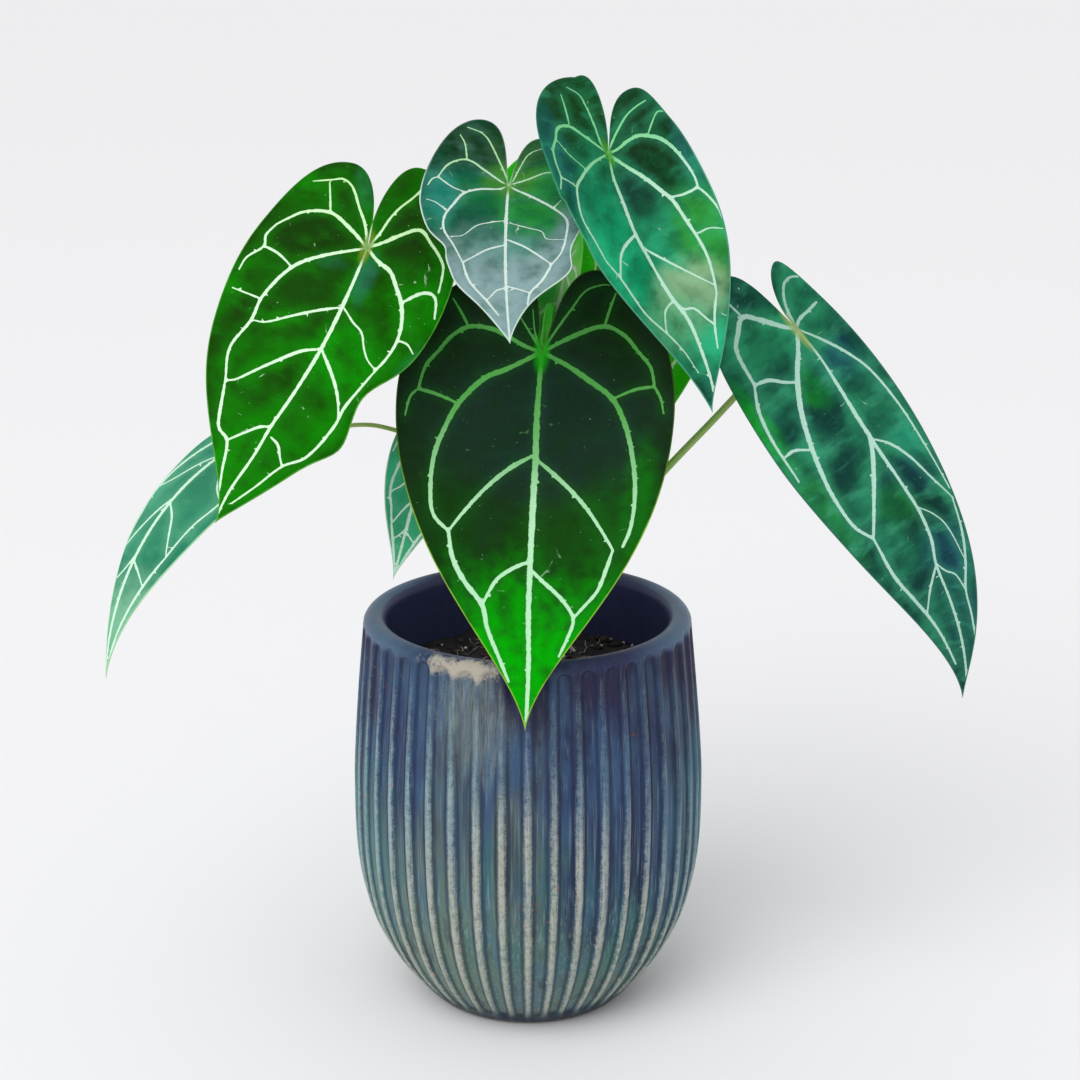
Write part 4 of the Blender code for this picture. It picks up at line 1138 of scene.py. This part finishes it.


# ---- Right leaf -----------------------------------------------------------------------------------------
# The longest blade, hanging out to the right: green velvet with a painted blue sheen, swollen between its
# veins, with a narrow upper half. Its stalk runs straight up to it behind.

grow("right",
     dict(at=(127, -20, 348), length=229, half=(48, 26.5), lobe=(43, 28.5), crest=(0.35, 0.45),
          broad=(46, 55), full=(0.34, 0.50), drip=(0.21, 0.18), sinus=(0.04, -0.06), cast=6, lean=41.5,
          tilt=20, face=5, droop=50, sway=38, fold=20, curl=18, ruffle=1.4, quilt=1.3),
     dict(foot=(4, 188), route=[(28, -6, 225), (60, -14, 270), (92, -15, 306), (114, -12, 330)],
          meets=(0.42, -0.75, 0.50), radius=(2.1, 1.3), greens=("7fb04a", "dccf98")),
     [(1.8, [(0, 1), (1, 7), (-2, 14), (-4, 22), (-3, 31), (2, 39), (9, 46), (8, 53), (-1, 59), (3, 69),
            (7, 79), (8, 96)]),
      (2.5, [(0, 0), (-14, 4), (-30, 8), (-47, 14), (-59, 21), (-66, 28), (-68, 33), (-64, 41), (-51, 46)]),
      (1.7, [(-51, 46), (-47, 56), (-34, 65), (-26, 70), (-17, 77), (-7, 87)]),
      (2.5, [(0, 0), (-9, -2), (-25, -7), (-34, -9), (-48, -7), (-62, -4), (-70, 4)]),
      (1.7, [(-70, 4), (-83, 9), (-90, 16), (-91, 26)]),
      (1.1, [(-34, -9), (-35, -14)]),
      (1.9, [(-70, 4), (-55, 5), (-45, 7), (-33, 9)]),
      (1.6, [(-89, 20), (-77, 20), (-62, 22)]),
      (1.5, [(0, 0), (-1, -6), (-14, -13), (-21, -16)]),
      (1.6, [(0, 0), (14, -5), (39, -8), (62, -8), (84, -6)]),
      (1.5, [(0, 0), (27, 5), (52, 10), (71, 15), (82, 23), (86, 32), (90, 42)]),
      (1.3, [(86, 44), (74, 52), (57, 59), (39, 66), (37, 72), (33, 82)]),
      (1.8, [(0, 0), (15, -1), (44, -1), (70, -1)]),
      (1.5, [(0, 28), (21, 30), (44, 34), (63, 39), (87, 44)]),
      (2.3, [(-3, 26), (-10, 30), (-20, 34), (-33, 39), (-51, 46)]),
      (0.9, [(10, 45), (32, 47), (48, 50), (57, 58)]),
      (1.1, [(0, 59), (12, 61), (28, 62), (38, 66)]),
      (1.3, [(-1, 59), (-16, 64), (-26, 69)])],
     [[(-50, -6), (-40, -2), (-26, 4)], [(-17, 49), (-26, 54), (-38, 59)], [(14, 18), (30, 22)]],
     # Painted sheen: the blue in these greens and washes.
     dict(deep="133c36", green="2a8860", halo="44a880", rim="33705e", vein=("b4dccc", "b4dccc"),
          vein_highlight=0.25, pleat_light_and_shade=0.45, under="5f9e8a", hub="9ab060", rough=0.40,
          washes=[("174048", (0.45, 0.74), (0.8, 0.22), 0.85), ("1a4424", (0.0, 0.40), (0.35, 0.1), 0.7),
                  ("2c9a68", (-0.3, -0.02), (0.5, 0.06), 0.85),
                  ("2a8c62", (0.5, -0.06), (0.5, 0.07), 0.7), ("1c4a62", (0.35, 0.10), (0.5, 0.05), 0.8),
                  ("1b3f5e", (0.35, 0.56), (0.5, 0.07), 0.75), ("1c3f50", (0.6, 0.72), (0.4, 0.06), 0.8),
                  ("12981a", (-0.92, 0.12), (0.14, 0.12), 0.9),
                  ("128a1c", (-0.25, 0.12), (0.15, 0.05), 0.7),
                  ("163a4a", (0.25, 0.37), (0.6, 0.05), 0.7), ("2a9048", (-0.92, 0.38), (0.3, 0.16), 0.8),
                  ("0f2f34", (-0.3, -0.15), (0.3, 0.05), 0.9), ("1a3a38", (0.1, 0.95), (0.8, 0.12), 0.8),
                  ("1a7a30", (-0.15, 0.42), (0.25, 0.05), 0.6),
                  ("26987a", (0.55, 0.30), (0.3, 0.05), 0.6)]),
     seed=5)


# ---- Lower left leaf ------------------------------------------------------------------------------------
# A narrow blade seen almost edge-on behind the left leaf, pointing out and down; green-blue velvet above. Its
# veins follow the common plan of this plant, which the other small and hidden leaves share.

PLAIN_HAIRS = [[(10, 20), (30, 30)]]       # the one faint vein of these leaves


def plain_veins(width):
    """The common plan: a midrib, a looped vein down each half, one into each lobe, and cross veins."""
    veins = [(width * 1.2, [(0, 1), (0, 30), (0, 60), (0, 98)])]
    for side in (-1, 1):
        routes = [(1.0, [(0, 0), (38, 8), (57, 14), (68, 25), (73, 34), (69, 43), (58, 50), (45, 62)]),
                  (0.9, [(45, 62), (30, 72), (13, 85), (4, 94)]),
                  (0.9, [(0, 0), (35, -5), (62, -4), (82, 4), (92, 14)]),
                  (0.7, [(0, 0), (14, -8), (27, -14), (40, -18)]),
                  (0.7, [(0, 24 + side), (24, 29), (46, 36), (71, 41)]),
                  (0.7, [(0, 44 + side), (20, 50), (45, 62)]),
                  (0.6, [(0, 64 + side), (14, 68), (30, 72)])]
        veins += [(width * share, [(side * a, d) for a, d in route]) for share, route in routes]
    return veins


grow("low_left",
     dict(at=(-116, -14, 299), length=161, half=(24, 46), lobe=(15, 14), broad=(8, 32), full=(0.35, 0.46),
          drip=(0.26, 0.20), heading=-50, lean=3, tilt=87, face=-2, droop=77, sway=-9, fold=0, curl=-1,
          ruffle=1.0, quilt=0.6),
     dict(foot=(168, 192), route=[(-20, -3, 240), (-42, -6, 283), (-70, -10, 298), (-96, -10, 297)],
          meets=(-0.75, -0.35, 0.55), radius=(1.3, 0.9), greens=("8fb050", "b8b478")),
     plain_veins(1.9), PLAIN_HAIRS,
     dict(deep="2a7a60", green="4a9c7a", halo="6fb490", rim="9fd0a0", vein=("c8ead2", "c8ead2"),
          washes=[("1f7a52", (0.3, 0.5), (0.6, 0.3), 0.5), ("8abf9c", (0.2, 0.9), (0.9, 0.2), 0.7)]),
     seed=6)


# ---- Lower back leaf ------------------------------------------------------------------------------------
# A small blade low behind the front leaf, hanging straight down. Its thin stalk leans out from the stem and
# meets it from behind.

grow("low_back",
     dict(at=(-46, -27, 297), length=72, half=(17, 18), lobe=(12, 14), broad=(12, 10), full=(0.45, 0.45),
          lean=-15, tilt=8, droop=8, fold=6, curl=6, ruffle=0.5, quilt=0.4),
     dict(foot=(124, 184), route=[(-14, 6, 225), (-24, 0, 262), (-35, -9, 281), (-42, -16, 288)],
          meets=(-0.30, -0.85, 0.43), radius=(1.5, 1.2), greens=("4fa030", "8fb058")),
     plain_veins(1.5), PLAIN_HAIRS,
     # Painted light: these pale greens are raised to stand in for light on a blade that lies in shade.
     dict(deep="30a068", green="3cc090", halo="6fd0aa", rim="b4dcc4", vein=("d0f0dc", "d0f0dc"),
          washes=[("1c6a50", (-0.4, 0.5), (0.5, 0.3), 0.4)]),
     seed=7)


# ---- Back leaf ------------------------------------------------------------------------------------------
# A broad green blade upright behind the stalks, mostly hidden by the leaves in front, painted bright to stand
# in for light on it. Its stalk rises behind it and bends over at the top.

grow("back",
     dict(at=(32.5, 12, 398), length=155, half=(56, 60), lobe=(30, 30), broad=(22, 24), full=(0.45, 0.50),
          lean=2, tilt=-2, droop=6, nod=5, fold=4, curl=6, ruffle=1.0, quilt=0.6),
     dict(foot=(80, 190), route=[(8, 19, 250), (16, 27, 320), (26, 32, 368), (31, 28, 386)],
          meets=(0, -0.85, 0.52), radius=(2.4, 1.8), greens=("4fa030", "4f9a30")),
     plain_veins(2.2), PLAIN_HAIRS,
     # Painted light: these bright greens stand in for light on a blade that lies in shade.
     dict(deep="2aa80c", green="22c408", halo="4fc83c", rim="8fc85a", vein=("b4e070", "c0e8b0"),
          vein_highlight=0.3, under="8fc080", pale_from=(0.0, 0.6), rough=0.45,
          washes=[("3f9a00", (0.0, 0.0), (0.8, 0.12), 0.6), ("22b800", (0.6, 0.3), (0.4, 0.3), 0.7)]),
     seed=8)


# ---- Young leaf -----------------------------------------------------------------------------------------
# The youngest blade, still small and half hidden between the stalks, paler than the others and not yet
# velvety.

grow("young",
     dict(at=(18, -18, 375), length=62, half=(22, 18), lobe=(23, 20), crest=(0.40, 0.40), broad=(10, 10),
          full=(0.45, 0.45), sinus=(0.04, 0.04), lean=-10, tilt=4, face=30, droop=6, fold=35, curl=5,
          ruffle=0.5, quilt=0.4),
     dict(foot=(44, 186), route=[(14, 4, 230), (18, 2, 290), (21, 0, 340), (21, -4, 358)],
          meets=(-0.25, -0.80, 0.50), radius=(1.7, 1.4), greens=("4fa030", "6fae40")),
     plain_veins(2.2), PLAIN_HAIRS,
     dict(deep="58d848", green="98f078", halo="d4f8c4", rim="e0f4d8", vein=("f0fae8", "f0fae8"),
          vein_highlight=0.3, pleat_light_and_shade=0.12, under="c8f0b8", hub="8aa840", rough=0.45,
          washes=[("12b04a", (-0.5, 0.3), (0.6, 0.35), 0.8)]),
     seed=9)


# ---- Floor, light and camera ----------------------------------------------------------------------------
# A plain pale floor, and soft studio light: a large panel in front and to the left, a broad light from high
# up, and an even pale room all round.

FLOOR_REACH = 60.0        # metres to the floor's edges, which lie far away
FLOOR_LEVEL = -0.0005
OFF_WHITE = "f1f1f2"


def plain_pale():
    """Matt off-white paint."""
    material, wire, shader = new_finish("pale_floor")
    feed(shader, {"Base Color": OFF_WHITE, "Roughness": 0.9, "Specular IOR Level": 0.1})
    return material


corners = [(x * FLOOR_REACH, y * FLOOR_REACH, FLOOR_LEVEL) for x, y in ((-1, -1), (1, -1), (1, 1), (-1, 1))]
floor_mesh = bpy.data.meshes.new("floor")
floor_mesh.from_pydata(corners, [], [(0, 1, 2, 3)])
floor_mesh.materials.append(plain_pale())
floor = bpy.data.objects.new("floor", floor_mesh)
bpy.context.scene.collection.objects.link(floor)


def panel(name, place, aim, size, power):
    """A soft light panel that faces a point."""
    light = bpy.data.lights.new(name, "AREA")
    light.shape = "RECTANGLE"
    light.size, light.size_y = size
    light.energy = power
    lamp = bpy.data.objects.new(name, light)
    bpy.context.scene.collection.objects.link(lamp)
    lamp.location = place
    lamp.rotation_euler = (Vector(aim) - Vector(place)).to_track_quat("-Z", "Y").to_euler()


panel("key", (-1.3, -1.9, 2.0), (0, 0, 0.25), (1.6, 1.6), 14)
sun = bpy.data.lights.new("high_soft_light", "SUN")
sun.energy = 1.1
sun.angle = radians(50)
high = bpy.data.objects.new("high_soft_light", sun)
high.rotation_euler = Vector((0.45, 0.75, -1.0)).to_track_quat("-Z", "Y").to_euler()
bpy.context.scene.collection.objects.link(high)
world = bpy.data.worlds.new("soft_room")
world.use_nodes = True
world.node_tree.nodes["Background"].inputs["Color"].default_value = (0.95, 0.95, 0.96, 1)
world.node_tree.nodes["Background"].inputs["Strength"].default_value = 0.74
bpy.context.scene.world = world
bpy.context.scene.view_settings.view_transform = "Standard"

LOOK_DOWN = radians(17)
DISTANCE = 1.2
AIM = Vector((0.0061, 0, 0.238))
lens = bpy.data.cameras.new("camera")
lens.lens = 81.4
lens.sensor_width = 36
camera = bpy.data.objects.new("camera", lens)
camera.location = AIM - DISTANCE * Vector((0, cos(LOOK_DOWN), -sin(LOOK_DOWN)))
camera.rotation_euler = (pi / 2 - LOOK_DOWN, 0, 0)
bpy.context.scene.collection.objects.link(camera)
bpy.context.scene.camera = camera
